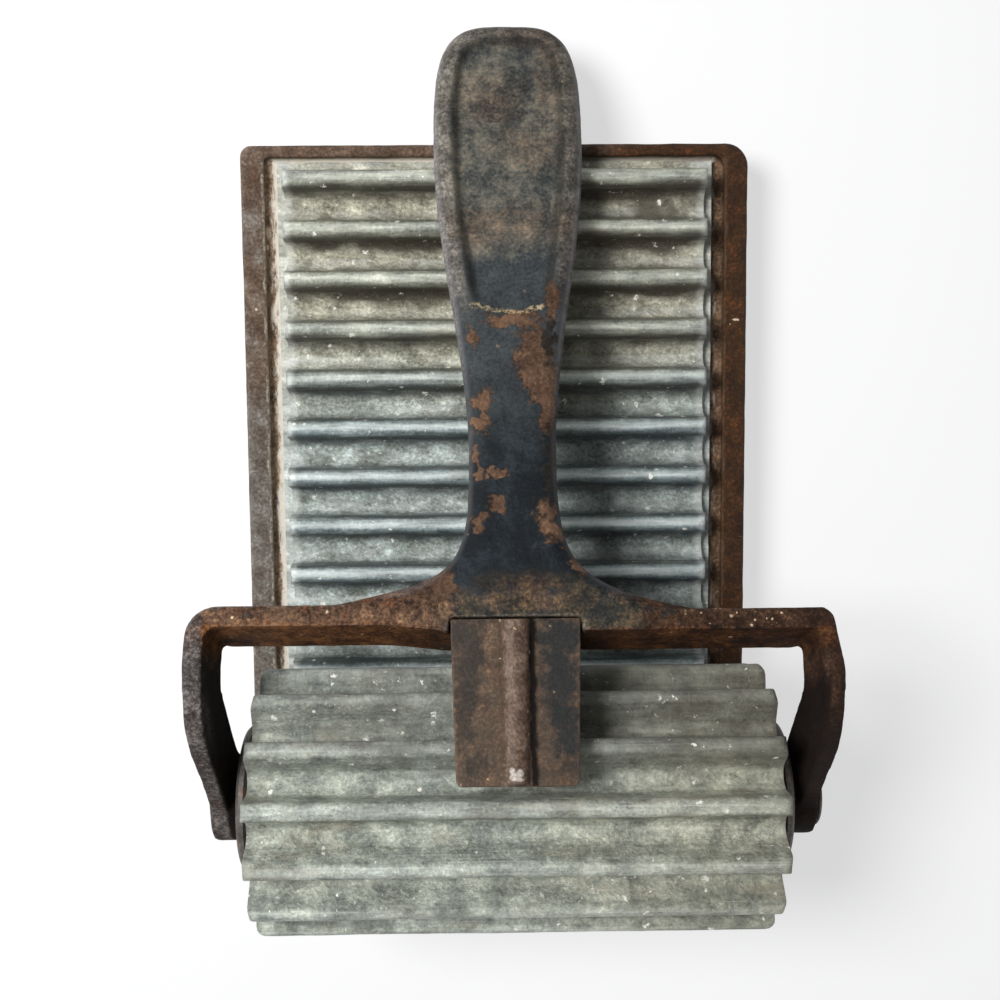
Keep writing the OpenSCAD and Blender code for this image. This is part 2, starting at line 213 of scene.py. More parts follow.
def rusted_iron(name):
    """Old cast iron under a coat of brown rust: rubbed grey at the left and dark and reddish at the right, the
    change partly painted light from the left and painted shade at the right.
    """
    material, place = open_material(name)
    x, y, z = place.axes()
    broad = place.cloud(0.05, 5).strong()
    patch = place.cloud(0.22, 6, 0.62).strong()
    grain = place.cloud(1.5, 7, 0.72).strong()
    blend = 0.42 * patch + 0.58 * grain
    rust = blend.ramp((0.1, 64, 50, 40), (0.4, 91, 73, 60), (0.62, 112, 92, 77), (0.9, 144, 121, 102))
    grey = blend.ramp((0.1, 72, 66, 60), (0.45, 108, 102, 95), (0.7, 132, 127, 119), (0.92, 166, 162, 154))
    dark = blend.ramp((0.1, 28, 17, 9), (0.45, 56, 36, 21), (0.7, 78, 51, 30), (0.95, 122, 68, 38))
    # Greyer towards the left and front, partly rubbed iron and partly painted light; painted shade darkens the
    # right.
    rubbed = (x * -0.014 - y * 0.005 + 0.35 * (broad - 0.5) + 0.3 * (patch - 0.5)).smooth(0.25, 0.85)
    colour = rubbed.mix(rust, grey)
    shade = (x * 0.02 + 0.35 * (broad - 0.5) + 0.2 * (patch - 0.5)).smooth(0.1, 0.75)
    colour = shade.mix(colour, dark)
    past_side = abs(x) - (base_high.x - rim_side + 0.5 * MM) / MM
    past_end = abs(y) - (base_high.y - rim_end + 0.5 * MM) / MM
    in_tray = (past_side.smooth(0.4, 0) * past_end.smooth(0.4, 0)
               * z.smooth(bed_z / MM - 1, bed_z / MM - 0.6))
    well = in_tray * z.smooth(12.6, 11.2)
    gap = abs(x) - plate_high.x / MM
    flaky = place.stretch(1.0, 0.3, 1.0).cloud(0.7, 7, 0.72).strong()
    crust = (flaky - x * 0.004 - 0.5 * gap).smooth(-0.25, 0.3)
    silt = blend.ramp((0.1, 66, 49, 36), (0.5, 128, 104, 83), (0.9, 184, 158, 132))
    tray_floor = (0.55 * x.smooth(-10, 40)).mix(crust.mix(silt, (228, 220, 206)), dark)
    colour = (0.92 * well).mix(colour, tray_floor)
    ember = place.cloud(0.36, 7, 0.7).smooth(0.58, 0.7)
    colour = (0.3 * ember * (1 - rubbed)).mix(colour, (122, 66, 42))
    # A pale worn lip along the tray's inner edge, with a painted highlight that is stronger at the left.
    rim = abs(abs(x) - 44.9) + 0.7 * (patch - 0.5)
    lip = rim.smooth(0.6, 0.2) * z.smooth(12.2, 12.8) * (0.6 - x * 0.006)
    lip = clamp(lip * past_end.smooth(-0.6, -1.2))
    pale_lip_and_highlight = x.smooth(0, 30).mix((236, 224, 208), (134, 108, 86))
    colour = lip.mix(colour, grain.mix((110, 92, 76), pale_lip_and_highlight))
    chipped = marks(place, rim_chips, 0.8 * (grain - 0.5), 0.25)
    flake = clamp(place.cloud(0.9, 3, 0.6).smooth(0.73, 0.77) + chipped)
    colour = (0.9 * flake).mix(colour, (226, 208, 186))
    pits = place.node("ShaderNodeTexVoronoi", {"Vector": place, "Scale": 0.9}, feature="SMOOTH_F1")
    height = 0.5 * grain + 0.3 * patch + 0.35 * pits
    close_material(place, colour, roughness=0.55 + 0.3 * grain - 0.1 * rubbed, metallic=0.12 * rubbed,
                   height=height, depth=0.3, gloss=0.18)
    return material


def rounded_ring(half_x, half_y, corners, z, per_x=64, per_y=92, per_corner=8):
    """Points round a rectangle whose corners have radii of their own, spread so that rings line up."""
    signs = ((1, 1), (-1, 1), (-1, -1), (1, -1))
    arcs = []
    for quarter, ((sx, sy), radius) in enumerate(zip(signs, corners)):
        turns = [(quarter + step / per_corner) * math.pi / 2 for step in range(per_corner + 1)]
        cx, cy = sx * (half_x - radius), sy * (half_y - radius)
        arcs.append([(cx + radius * math.cos(t), cy + radius * math.sin(t), z) for t in turns])
    points = []
    for quarter, bow in enumerate(arcs):
        count = per_x if quarter % 2 == 0 else per_y
        start, end = Vector(bow[-1]), Vector(arcs[(quarter + 1) % 4][0])
        points += bow + [tuple(start.lerp(end, step / count)) for step in range(1, count)]
    return points


def skin(name, rings, loop=False):
    """A mesh drawn over rings of equally many points, closed by flat ends or on from the last to the first."""
    size = len(rings[0])
    points = [point for ring in rings for point in ring]
    faces = []
    for row in range(len(rings) if loop else len(rings) - 1):
        here, there = row * size, (row + 1) % len(rings) * size
        for i in range(size):
            j = (i + 1) % size
            faces.append((here + i, here + j, there + j, there + i))
    if not loop:
        faces.append(tuple(range(size - 1, -1, -1)))
        faces.append(tuple(range((len(rings) - 1) * size, len(rings) * size)))
    mesh = bpy.data.meshes.new(name)
    mesh.from_pydata(points, [], faces)
    close_up(mesh)
    return mesh


def close_up(mesh):
    """Merges doubled points and turns every face outwards."""
    work = bmesh.new()
    work.from_mesh(mesh)
    bmesh.ops.remove_doubles(work, verts=work.verts, dist=0.002 * MM)
    bmesh.ops.dissolve_degenerate(work, edges=work.edges, dist=0.001 * MM)
    bmesh.ops.recalc_face_normals(work, faces=work.faces)
    work.to_mesh(mesh)
    work.free()


def arc(centre_a, centre_b, radius, start, end, steps):
    """Points on an arc between two angles in degrees."""
    turns = [math.radians(start + (end - start) * i / steps) for i in range(steps + 1)]
    return [(centre_a + radius * math.cos(t), centre_b + radius * math.sin(t)) for t in turns]


def wear(mesh, depth, size, seed, keep=None):
    """Sinks the surface unevenly, as sand and use leave it: depth at most, lumps about size across."""
    mesh.update()
    shift = Vector((seed * 7.3, seed * 3.1, seed * 5.7))
    outward = [vertex.normal.copy() for vertex in mesh.vertices]
    for vertex, normal in zip(mesh.vertices, outward):
        place = vertex.co / size + shift
        lump = 0.5 + 0.36 * noise.noise(place) + 0.2 * noise.noise(place * 2.7)
        share = keep(vertex.co) if keep else 1.0
        vertex.co = vertex.co - normal * (depth * share * min(1.0, max(0.0, lump)))
    mesh.update()


def put(name, content):
    """A new object at the origin with that mesh, lamp or camera."""
    thing = bpy.data.objects.new(name, content)
    bpy.context.scene.collection.objects.link(thing)
    return thing


def add_piece(name, mesh, material, sharp=35):
    """An object at the origin with that mesh, smooth except where faces turn sharply."""
    piece = put(name, mesh)
    mesh.materials.clear()
    mesh.materials.append(material)
    mesh.shade_smooth()
    mesh.set_sharp_from_angle(angle=math.radians(sharp))
    return piece


def plain_mesh(piece):
    """The piece's mesh as its modifiers leave it."""
    bpy.context.view_layer.update()
    return bpy.data.meshes.new_from_object(piece.evaluated_get(bpy.context.evaluated_depsgraph_get()))


def apply_boolean(piece, other, operation, solver="EXACT"):
    """Cuts, joins or overlaps a piece with another mesh object, which is then removed."""
    modifier = piece.modifiers.new("boolean", "BOOLEAN")
    modifier.operation = operation
    modifier.solver = solver
    modifier.object = other
    made = plain_mesh(piece)
    piece.modifiers.clear()
    piece.data = made
    bpy.data.objects.remove(other)


def join_edges(mesh):
    """Takes out the points that a cut left in the middle of an edge."""
    work = bmesh.new()
    work.from_mesh(mesh)
    bmesh.ops.dissolve_verts(work, verts=[vertex for vertex in work.verts if len(vertex.link_edges) == 2])
    bmesh.ops.dissolve_degenerate(work, edges=work.edges, dist=0.003 * MM)
    work.to_mesh(mesh)
    work.free()


half_w = (base_high.x - base_low.x) / 2
half_l = (base_high.y - base_low.y) / 2
rim_z = base_high.z
side_profile = arc(foot_round, foot_round, foot_round, 270, 180, 5)
wall_steps = 8
wall_h = rim_z - rim_round - foot_round
side_profile += [(0, foot_round + wall_h * i / wall_steps) for i in range(1, wall_steps)]
side_profile += arc(rim_round, rim_z - rim_round, rim_round, 180, 90, 6)
base_rings = [rounded_ring(half_w - d, half_l - d, [corner - 0.6 * d for corner in base_corners], z)
              for d, z in side_profile]
lip_profile = arc(-lip_round, rim_z - lip_round, lip_round, 90, 0, 4)
lip_profile += [(0, rim_z - lip_round - 0.4 * MM)]
lip_profile += arc(tray_round, bed_z + tray_round, tray_round, 180, 270, 4)
lip_profile += [(6 * MM, bed_z), (20 * MM, bed_z)]
tray_w, tray_l = half_w - rim_side, half_l - rim_end
base_rings += [rounded_ring(tray_w - d, tray_l - d, tray_corners, z) for d, z in lip_profile]
base_mesh = skin("base_casting", base_rings)
foot_flat = 0.4 * MM
wear(base_mesh, depth=0.22 * MM, size=5 * MM, seed=1, keep=lambda co: 1.0 if co.z > foot_flat else 0.0)
rust_brown = rusted_iron("rusted base iron")
base = add_piece("base_tray", base_mesh, rust_brown)


def circle(radius, sides):
    """Points round a circle about the origin."""
    turns = [2 * math.pi * i / sides for i in range(sides)]
    return [(radius * math.cos(t), radius * math.sin(t)) for t in turns]


hole_r = screw_r + 0.05 * MM
cone_top = screw_sink + (screw_head_r - screw_r)
hole_outline = [(screw_head_r, -MM), (screw_head_r, screw_sink), (hole_r, cone_top), (hole_r, bed_z + MM)]
hole_rings = [[(*point, z) for point in circle(r, 48)] for r, z in hole_outline]
for side, end in ((-1, -1), (-1, 1), (1, -1), (1, 1)):
    hole = skin("screw hole", hole_rings)
    hole.transform(Matrix.Translation((side * screw_x, end * screw_y, 0)))
    apply_boolean(base, put("screw hole", hole), "DIFFERENCE")
join_edges(base.data)
base.data.set_sharp_from_angle(angle=math.radians(35))
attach(base, "base")
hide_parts("base_casting")

# Fluted plate: a zinc casting with fourteen round ridges over deep round valleys, on a thin flat margin.
# It drops into the base's tray with an open groove along each side.
# Damp starch has stained its valleys brown and black, and the ridge tops are rubbed bright. Painted shadow
# darkens the near side of each ridge and the crease on its far side, a painted highlight runs along each
# crest, and painted light brightens the valley beside each ridge's far side.
flute_pitch = 9.5 * MM
plate_ridges = 14
ridge_top = plate_high.z
valley_z = 14.0 * MM
ridge_crown = 1.7 * MM
margin_top = bed_z + 1.4 * MM
margin_side = 1.8 * MM
margin_end = 2.5 * MM
flute_draft = math.radians(7)
plate_end_round = 1.9 * MM
crown_share = 0.34
flank_share = 0.5


def flute_walls(crown, across, depth, floor):
    """Flank length and valley radius that take a flute from its crown to the valley floor."""
    steep = math.pi / 2 - flute_draft
    run_a, run_b = math.cos(steep), math.sin(steep)
    turn_a, turn_b = math.sin(steep) - math.sin(floor), math.cos(floor) - math.cos(steep)
    rest_a = across - crown * math.sin(steep)
    rest_b = depth - crown * (1 - math.cos(steep))
    flank = (rest_a * turn_b - rest_b * turn_a) / (run_a * turn_b - run_b * turn_a)
    return flank, (rest_a - flank * run_a) / turn_a


def flute_side(share, size, floor):
    """Half a flute, from its crown at share 0 to the valley floor at 1: how far across, and how deep."""
    crown, flank, valley, steep = (size[label] for label in (
        "Crown radius", "Flank length", "Valley radius", "Flank angle"))
    crown_turn = (share / crown_share).math("MINIMUM", 1) * steep
    run = clamp((share - crown_share) / (flank_share - crown_share)) * flank
    valley_turn = steep - ((share - flank_share) / (1 - flank_share)).math("MAXIMUM", 0) * (steep - floor)
    across = (crown * crown_turn.math("SINE") + run * steep.math("COSINE")
              + valley * (steep.math("SINE") - valley_turn.math("SINE")))
    drop = (crown * (1 - crown_turn.math("COSINE")) + run * steep.math("SINE")
            + valley * (valley_turn.math("COSINE") - steep.math("COSINE")))
    return across, drop


def grow(name, build, sizes, material):
    """Runs a tree of geometry nodes once and returns the plain mesh object that it makes."""
    tree = bpy.data.node_groups.new(name, "GeometryNodeTree")
    kinds = {int: "NodeSocketInt", float: "NodeSocketFloat"}
    ports = {label: tree.interface.new_socket(label, in_out="INPUT", socket_type=kinds[type(value)])
             for label, value in sizes.items()}
    tree.interface.new_socket("Geometry", in_out="OUTPUT", socket_type="NodeSocketGeometry")
    given = tree.nodes.new("NodeGroupInput")
    shape = build(Wire(tree), {label: Wire(tree, given.outputs[label]) for label in sizes})
    real = shape.node("GeometryNodeRealizeInstances", {0: shape})
    dressed = real.node("GeometryNodeSetMaterial", {"Geometry": real, "Material": material})
    dressed.node("NodeGroupOutput", {0: dressed})
    piece = put(name, bpy.data.meshes.new(name))
    modifier = piece.modifiers.new(name, "NODES")
    modifier.node_group = tree
    for label, port in ports.items():
        modifier[port.identifier] = sizes[label]
    mesh = plain_mesh(piece)
    piece.modifiers.clear()
    close_up(mesh)
    bpy.data.objects.remove(piece)
    return add_piece(name, mesh, material, sharp=50)


def sheet_of_points(tree, columns, rows):
    """A flat grid, with each point's share along its columns and its rows."""
    grid = tree.node("GeometryNodeMeshGrid",
                     {"Size X": 1.0, "Size Y": 1.0, "Vertices X": columns, "Vertices Y": rows})
    x, y, _ = tree.node("GeometryNodeInputPosition").axes()
    return grid, x + 0.5, y + 0.5


def plate_edge(step, size, round_r, shelf):
    """Over the edge of the flutes, by step from 0 to 1: rounding, wall, flat margin and its own edge."""
    top, shelf_z, floor_z = size["Ridge top"], size["Margin top"], size["Bed"]
    rounded, walled, laid = 0.4, 0.7, 0.9
    turn = clamp(step / rounded) * (math.pi / 2)
    out = round_r * turn.math("SINE") + shelf * clamp((step - walled) / (laid - walled))
    height = (top - round_r * (1 - turn.math("COSINE"))
              - (top - round_r - shelf_z) * clamp((step - rounded) / (walled - rounded))
              - (shelf_z - floor_z) * clamp((step - laid) / (1 - laid)))
    return out, height


def build_plate(tree, size):
    """A sheet of points laid over the flutes, down their ends and over the margin, closed by a flat back."""
    spaces = size["Ridges"] - 1
    grid, u, v = sheet_of_points(tree, (spaces + 2) * size["Steps per flute"] + 1, size["Rows"])
    along = u * (spaces + 2) - 1
    ridge = along.math("ROUND").math("MAXIMUM", 0).math("MINIMUM", spaces)
    off = along - ridge
    across, drop = flute_side(abs(off) * 2, size, floor=0)
    step = clamp((-along).math("MAXIMUM", along - spaces))
    beyond = step.math("GREATER_THAN", 0)
    out, end_z = plate_edge(step, size, size["Crown radius"], size["End margin"])
    outline_y = (ridge - spaces / 2) * size["Pitch"] + off.math("SIGN") * (
        across + beyond * (out - across))
    outline_z = size["Ridge top"] - drop
    outline_z = outline_z + beyond * (end_z - outline_z)
    inner_rows = 6
    width = v * (inner_rows + 2) - 1
    side_step = clamp((-width).math("MAXIMUM", width - inner_rows))
    side_out, cap = plate_edge(side_step, size, size["End rounding"], size["Side margin"])
    straight = size["Flute length"] / 2 - size["End rounding"]
    side = (v - 0.5).math("SIGN")
    x = (clamp(width / inner_rows) * 2 - 1) * straight + side * side_out
    z = outline_z.math("MINIMUM", cap)
    spot = tree.vector(x, outline_y, z)
    moved = tree.node("GeometryNodeSetPosition", {"Geometry": grid, "Position": spot})
    above_bed = tree.node("GeometryNodeInputPosition").axes()[2] - size["Bed"]
    worn = roughen(moved, clamp(above_bed / size["Wear"]) * size["Wear"])
    neighbours = tree.node("GeometryNodeInputMeshEdgeNeighbors")
    edge = tree.node("FunctionNodeCompare", {2: neighbours, 3: 1}, data_type="INT", operation="EQUAL")
    rim = tree.node("GeometryNodeMeshToCurve", {"Mesh": worn, "Selection": edge})
    back = tree.node("GeometryNodeFillCurve", {"Curve": rim}, mode="NGONS")
    return tree.node("GeometryNodeJoinGeometry", {0: [worn, back.lift(size["Bed"])]})


def roughen(shape, depth):
    """Moves the points of a worn casting a little, with slow waves and small dents, by a fixed pattern."""
    dent_share = 0.55
    middle = (1 + dent_share) / 2
    place = shape.node("GeometryNodeInputPosition")
    waves, dents = (
        shape.node("ShaderNodeTexNoise", {"Vector": place, "Scale": scale, "Detail": detail}, out="Color")
        for scale, detail in ((90.0, 1.0), (420.0, 2.0)))
    both = shape.node("ShaderNodeVectorMath", {0: dents, 1: (dent_share,) * 3, 2: waves},
                      operation="MULTIPLY_ADD")
    centred = shape.node("ShaderNodeVectorMath", {0: both, 1: (middle,) * 3}, operation="SUBTRACT")
    push = shape.node("ShaderNodeVectorMath", {0: centred, "Scale": depth * 2}, operation="SCALE")
    return shape.node("GeometryNodeSetPosition", {"Geometry": shape, "Offset": push})


def specks(place, spacing, size, share, ragged):
    """Small spots of up to this radius, scattered in a share of cells this far apart, in millimetres."""
    cells = place.node("ShaderNodeTexVoronoi", {"Vector": place, "Scale": 1 / spacing})
    pick, vary, _ = Wire(place.tree, cells.socket.node.outputs["Color"]).axes()
    spot = 1 - (cells * spacing + ragged + 0.7 * size * vary).smooth(0.6 * size, size)
    return spot * pick.smooth(1 - share, 1.02 - share)


def weathered_zinc(name, depth_of, stain_and_light_of, warm_of, relief):
    """Dull zinc with a scratched crust of pale oxide, stains and chalk, with painted shade and painted
    highlights.

    Relief says how far crowns, flanks and valleys differ in colour; the darker flanks are painted shade.
    """
    material, place = open_material(name)
    deep = depth_of(place)
    blotch = place.cloud(0.2, 7, 0.66).strong()
    grain = place.cloud(1.5, 7, 0.74).strong()
    streak = place.stretch(0.07, 0.8, 0.8).cloud(1.0, 6, 0.62).strong()
    scratched = place.stretch(0.5, 1.3, 1.0, (0, 0, math.radians(33))).cloud(0.8, 8, 0.76).strong()
    mottle = (0.44 - 0.14 * relief) * blotch + 0.33 * grain + (0.23 + 0.12 * relief) * streak
    crown = mottle.ramp((0.15, 96, 101, 99), (0.38, 148, 153, 149), (0.6, 182, 187, 181),
                        (0.85, 228, 231, 224))
    flow = place.stretch(0.3, 0.8, 0.8, shift=(5, 21, 8)).cloud(0.5, 7, 0.7).strong()
    crusted = 0.3 * blotch + 0.34 * grain + 0.14 * scratched + 0.22 * flow
    valley = crusted.ramp((0.16, 70, 68, 60), (0.34, 122, 121, 111), (0.5, 160, 159, 149),
                          (0.64, 196, 195, 185), (0.82, 244, 243, 234))
    flank = mottle.ramp((0.15, 52, 54, 47), (0.5, 96, 98, 88), (0.85, 152, 154, 142))
    low = relief * deep.smooth(0.5, 0.86) + (1 - relief) * (0.15 * blotch + 0.5 * scratched.smooth(0.3, 0.9))
    metal = low.mix(crown, valley)
    # The steep flanks are painted darker, as painted shade.
    steep = deep.smooth(0.02, 0.2) * deep.smooth(0.85, 0.55)
    metal = ((0.2 + 0.55 * relief) * steep).mix(metal, flank)
    tint = (0.75 * warm_of(place) + 0.6 * relief * (place.cloud(0.035, 3) - 0.4)).smooth(0.15, 0.85)
    wash = tint.mix((229, 243, 250), (253, 250, 236))
    metal = tint.node("ShaderNodeMix", {0: 1.0, 6: metal, 7: wash}, out=2, data_type="RGBA",
                      blend_type="MULTIPLY")
    hair = place.stretch(0.10, 3.2, 1.0, (0, 0, math.radians(32))).cloud(1.0, 3, 0.6).smooth(0.64, 0.7)
    rub = place.stretch(0.03, 2.2, 2.2).cloud(1.0, 3, 0.5).smooth(0.55, 0.75)
    metal = (0.3 * hair + 0.3 * rub * (1 - deep)).mix(metal, (230, 232, 225))
    ochre = place.stretch(0.06, 0.18, 0.18, shift=(40, 9, 3)).cloud(1.0, 6, 0.66).smooth(0.56, 0.7)
    metal = (0.5 * ochre * grain).mix(metal, (146, 124, 96))
    # Stains with painted shadow, and pale marks that include painted light and highlights, from the part's own
    # function.
    dirt_and_shade, pale = stain_and_light_of(place, deep, grain)
    metal = (clamp(pale) * (0.4 + 0.6 * streak)).mix(metal, (236, 239, 235))
    # Painted shade: darker towards the right.
    dirt_and_shade = clamp(dirt_and_shade + 0.2 * place.axes()[0].smooth(-15, 45) * (0.4 + 0.6 * grain))
    cold_soil_and_shade = grain.mix((20, 26, 31), (78, 88, 94))
    warm_soil_and_shade = grain.mix((26, 24, 20), (92, 84, 68))
    metal = dirt_and_shade.mix(metal, tint.mix(cold_soil_and_shade, warm_soil_and_shade))
    pitted = place.cloud(1.0, 4, 0.7).smooth(0.64, 0.71)
    metal = (0.6 * pitted).mix(metal, (58, 56, 48))
    chalk = (place.cloud(0.7, 5, 0.68).smooth(0.63, 0.69) * (place.cloud(0.07, 4).strong() + 0.1)
             + specks(place, 2.3, 0.6, 0.2, 0.9 * (grain - 0.5)))
    metal = clamp(chalk).mix(metal, (242, 240, 231))
    height = 0.5 * grain + 0.3 * hair + 0.25 * blotch + 0.5 * low * scratched
    close_material(place, metal, roughness=0.42 + 0.28 * grain + 0.12 * low + 0.1 * dirt_and_shade,
                   metallic=clamp(0.4 - 0.3 * low - 0.3 * dirt_and_shade), height=height, depth=0.2)
    return material


def plate_depth(place):
    """0 on the ridges' crests and 1 on the valleys' floors."""
    return clamp((ridge_top / MM - place.axes()[2]) / ((ridge_top - valley_z) / MM))


plate_stains = [(-24, 42, 9, 3.5), (-14, 41, 7, 3.5), (-19, 51.5, 12, 3), (-33, 52, 6, 3),
                (29, 52, 11, 4.5), (24, 60, 10, 3), (30, 42.5, 8, 3)]


def plate_stain_and_light(place, deep, grain):
    """Brown-black starch in wide stains, painted shadow on the near side of every ridge and in the crease on
    its far side, pale crust that is partly painted light, a painted highlight on the crests, and the pale
    margin.
    """
    ragged = 1.6 * (place.cloud(0.24, 5) - 0.5)
    wide = 0.8 * marks(place, plate_stains, ragged, 0.4) * deep.smooth(0.3, 0.85)
    y = place.axes()[1]
    off = (y / (flute_pitch / MM)).math("FRACT") - 0.5
    shift = off + 0.1 * (place.stretch(0.12, 0.3, 0.3).cloud(1.0, 5, 0.6) - 0.5)
    # Painted shadow in a band on the near side of each ridge.
    near_side_shadow = shift.smooth(-0.48, -0.24) * shift.smooth(0.0, -0.15)
    broken = place.stretch(0.09, 0.3, 0.3).cloud(1.0, 7, 0.7).smooth(0.36, 0.6)
    # Painted shade in a thin crease on the far side of each crest, fading out towards the back.
    crease_shade = off.smooth(0.15, 0.17) * off.smooth(0.21, 0.185) * y.smooth(45, 10)
    dirt_and_shade = (wide + near_side_shadow * (0.4 + 0.6 * broken)) * (0.65 + 0.35 * grain) + 0.7 * crease_shade * broken
    # A painted highlight along each crest.
    crest_highlight = off.smooth(-0.06, 0.01) * off.smooth(0.14, 0.06)
    # Pale crust on the valley beside each ridge's far side, partly painted light.
    crust = off.smooth(0.2, 0.34) * off.smooth(0.5, 0.42) * place.cloud(0.12, 4).strong()
    plate_end = plate_high.x / MM - margin_side / MM
    margin = abs(place.axes()[0]).smooth(plate_end - 2.2, plate_end - 0.6)
    pale = (0.48 - 0.28 * y.smooth(0, 35)) * crest_highlight + 0.4 * crust + 0.45 * margin
    return dirt_and_shade * (1 - 0.7 * margin), pale


def plate_warmth(place):
    """0 at the roller's end, where the zinc is bluish, and 1 at the handle's end, where it is brownish."""
    return place.axes()[1].smooth(0, 42)


zinc_plate = weathered_zinc("weathered zinc plate", plate_depth, plate_stain_and_light, plate_warmth, 1.0)
plate_flank, plate_valley = flute_walls(ridge_crown, flute_pitch / 2, ridge_top - valley_z, 0.0)
plate = grow("fluted_zinc_plate", build_plate, {
    "Ridges": plate_ridges, "Steps per flute": 24, "Rows": 81, "Pitch": flute_pitch,
    "Crown radius": ridge_crown, "Flank length": plate_flank, "Valley radius": plate_valley,
    "Flank angle": math.pi / 2 - flute_draft, "Ridge top": ridge_top, "Margin top": margin_top, "Bed": bed_z,
    "End margin": margin_end, "Side margin": margin_side, "End rounding": plate_end_round,
    "Flute length": plate_high.x - plate_low.x - 2 * margin_side, "Wear": 0.12 * MM}, zinc_plate)
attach(plate, "base")
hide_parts("fluted_plate")

# Plate screws: four slotted iron screws that come up through the base and hold the zinc plate.
# Their countersunk heads lie just below the base's underside.
# They were turned from rod, and the slots were sawn.
slot_w = 0.9 * MM
slot_depth = 0.8 * MM
screw_tip = screws_high.z


def bare_iron(name, rust_share):
    """Plain iron that was never painted: dark grey, with brown rust in patches."""
    material, place = open_material(name)
    patch = place.cloud(0.28, 6, 0.65)
    grain = place.cloud(2.2, 5, 0.65)
    blend = 0.5 * patch + 0.5 * grain
    iron = blend.ramp((0.3, 42, 39, 37), (0.5, 84, 80, 76), (0.72, 134, 130, 124))
    rust = blend.ramp((0.3, 44, 28, 18), (0.5, 92, 62, 42), (0.72, 138, 92, 58))
    rusty = (place.cloud(0.2, 6, 0.7) + 0.3 * (grain - 0.5)).smooth(0.62 - rust_share, 0.82 - rust_share)
    close_material(place, rusty.mix(iron, rust), roughness=0.42 + 0.3 * grain + 0.15 * rusty,
                   metallic=0.55 - 0.5 * rusty, height=0.5 * grain + 0.5 * patch, depth=0.2, gloss=0.35)
    return material


def build_screws(tree, size):
    """One slotted screw, with its head down, put at the four corners of a rectangle."""
    cone = size["Head radius"] - size["Shank radius"]
    head = tree.node("GeometryNodeMeshCone", {
        "Vertices": 48, "Radius Top": size["Shank radius"], "Radius Bottom": size["Head radius"],
        "Depth": cone})
    slot_size = tree.vector(size["Head radius"] * 3, size["Slot width"], size["Slot depth"] * 2)
    slot = tree.node("GeometryNodeMeshCube", {"Size": slot_size})
    length = size["Tip height"] - size["Sink"] - cone
    shank = tree.node("GeometryNodeMeshCylinder",
                      {"Vertices": 48, "Radius": size["Shank radius"], "Depth": length})
    whole = tree.node("GeometryNodeMeshBoolean", {"Mesh 2": [head, shank.lift(cone + length / 2)]},
                      operation="UNION")
    sawn = tree.node("GeometryNodeMeshBoolean", {"Mesh 1": whole, "Mesh 2": slot}, operation="DIFFERENCE")
    corners = tree.node("GeometryNodeMeshGrid",
                        {"Size X": size["Spacing across"], "Size Y": size["Spacing along"],
                         "Vertices X": 2, "Vertices Y": 2})
    turn = tree.vector(z=tree.node("GeometryNodeInputIndex") * 1.9)
    return tree.node("GeometryNodeInstanceOnPoints",
                     {"Points": corners.lift(size["Sink"]), "Instance": sawn, "Rotation": turn})


screw_iron = bare_iron("bare screw iron", 0.12)
screws = grow("plate_fixing_screws", build_screws, {
    "Head radius": screw_head_r, "Shank radius": screw_r, "Slot width": slot_w, "Slot depth": slot_depth,
    "Tip height": screw_tip, "Sink": screw_sink, "Spacing across": 2 * screw_x, "Spacing along": 2 * screw_y},
    screw_iron)
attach(screws, "base")
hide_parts("plate_screws")

# Roller core: the turned iron drum inside the fluted shell, with a hub and a riveted spigot on each end.
# It is bored through and runs on the axle.
# Only its rusty ends show, a little way inside the shell.
pivot = next(joint for joint in frame["joints"] if joint["name"] == "handle_pivot")
axle_place = Vector(pivot["pos_m"])
core_low, core_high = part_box("roller_core")
shell_low, shell_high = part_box("roller_shell")
core_r = (core_high.z - core_low.z) / 2
core_recess = 0.8 * MM
hub_r = 8.5 * MM
spigot_r = 6.0 * MM
axle_r = 3.2 * MM
run_clear = 0.05 * MM
disc_gap = 1.0 * MM
shell_end = (shell_high.x - shell_low.x) / 2
spigot_end = (core_high.x - core_low.x) / 2


def lathe(name, outline, sides=96):
    """A turned piece about the axle: a closed outline of places along it and radii."""
    rings = [[(x, *point) for point in circle(r, sides)] for x, r in outline]
    mesh = skin(name, rings, loop=True)
    mesh.transform(Matrix.Translation(axle_place))
    return mesh


def eased(outline, ease):
    """The same closed outline with its corners cut at a small bevel."""
    points = []
    for i, corner in enumerate(outline):
        here = Vector(corner)
        for other in (Vector(outline[i - 1]), Vector(outline[(i + 1) % len(outline)])):
            way = other - here
            points.append(tuple(here + way.normalized() * min(ease, way.length / 3)))
    return points


core_end = shell_end - core_recess
hub_end = shell_end + disc_gap
core_half = [(spigot_end, axle_r + run_clear), (spigot_end, spigot_r), (hub_end, spigot_r), (hub_end, hub_r),
             (core_end, hub_r), (core_end, core_r)]
core_outline = core_half + [(-x, r) for x, r in reversed(core_half)]
core_iron = bare_iron("rusty core iron", 0.35)
core = add_piece("roller_drum", lathe("roller_drum", eased(core_outline, 0.3 * MM)), core_iron)
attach(core, "roller")
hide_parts("roller_core")

# Roller shell: a zinc sleeve with fourteen flutes, cast round the core.
# The flutes' ends are rounded over and knocked about, and the whole is dull grey with white bloom. The shadow
# of the tongue and crossbar is painted on its top, darker to the right, and a faint painted highlight lies on
# the flute tips.
roller_flutes = 14
roller_pitch_r = roller_flutes * flute_pitch / (2 * math.pi)
roller_tip_r = roller_pitch_r + 2.63 * MM
roller_root_r = roller_tip_r - 6.6 * MM
roller_crown = 1.55 * MM
flute_end_round = 1.5 * MM
rest_lean = math.radians(13)


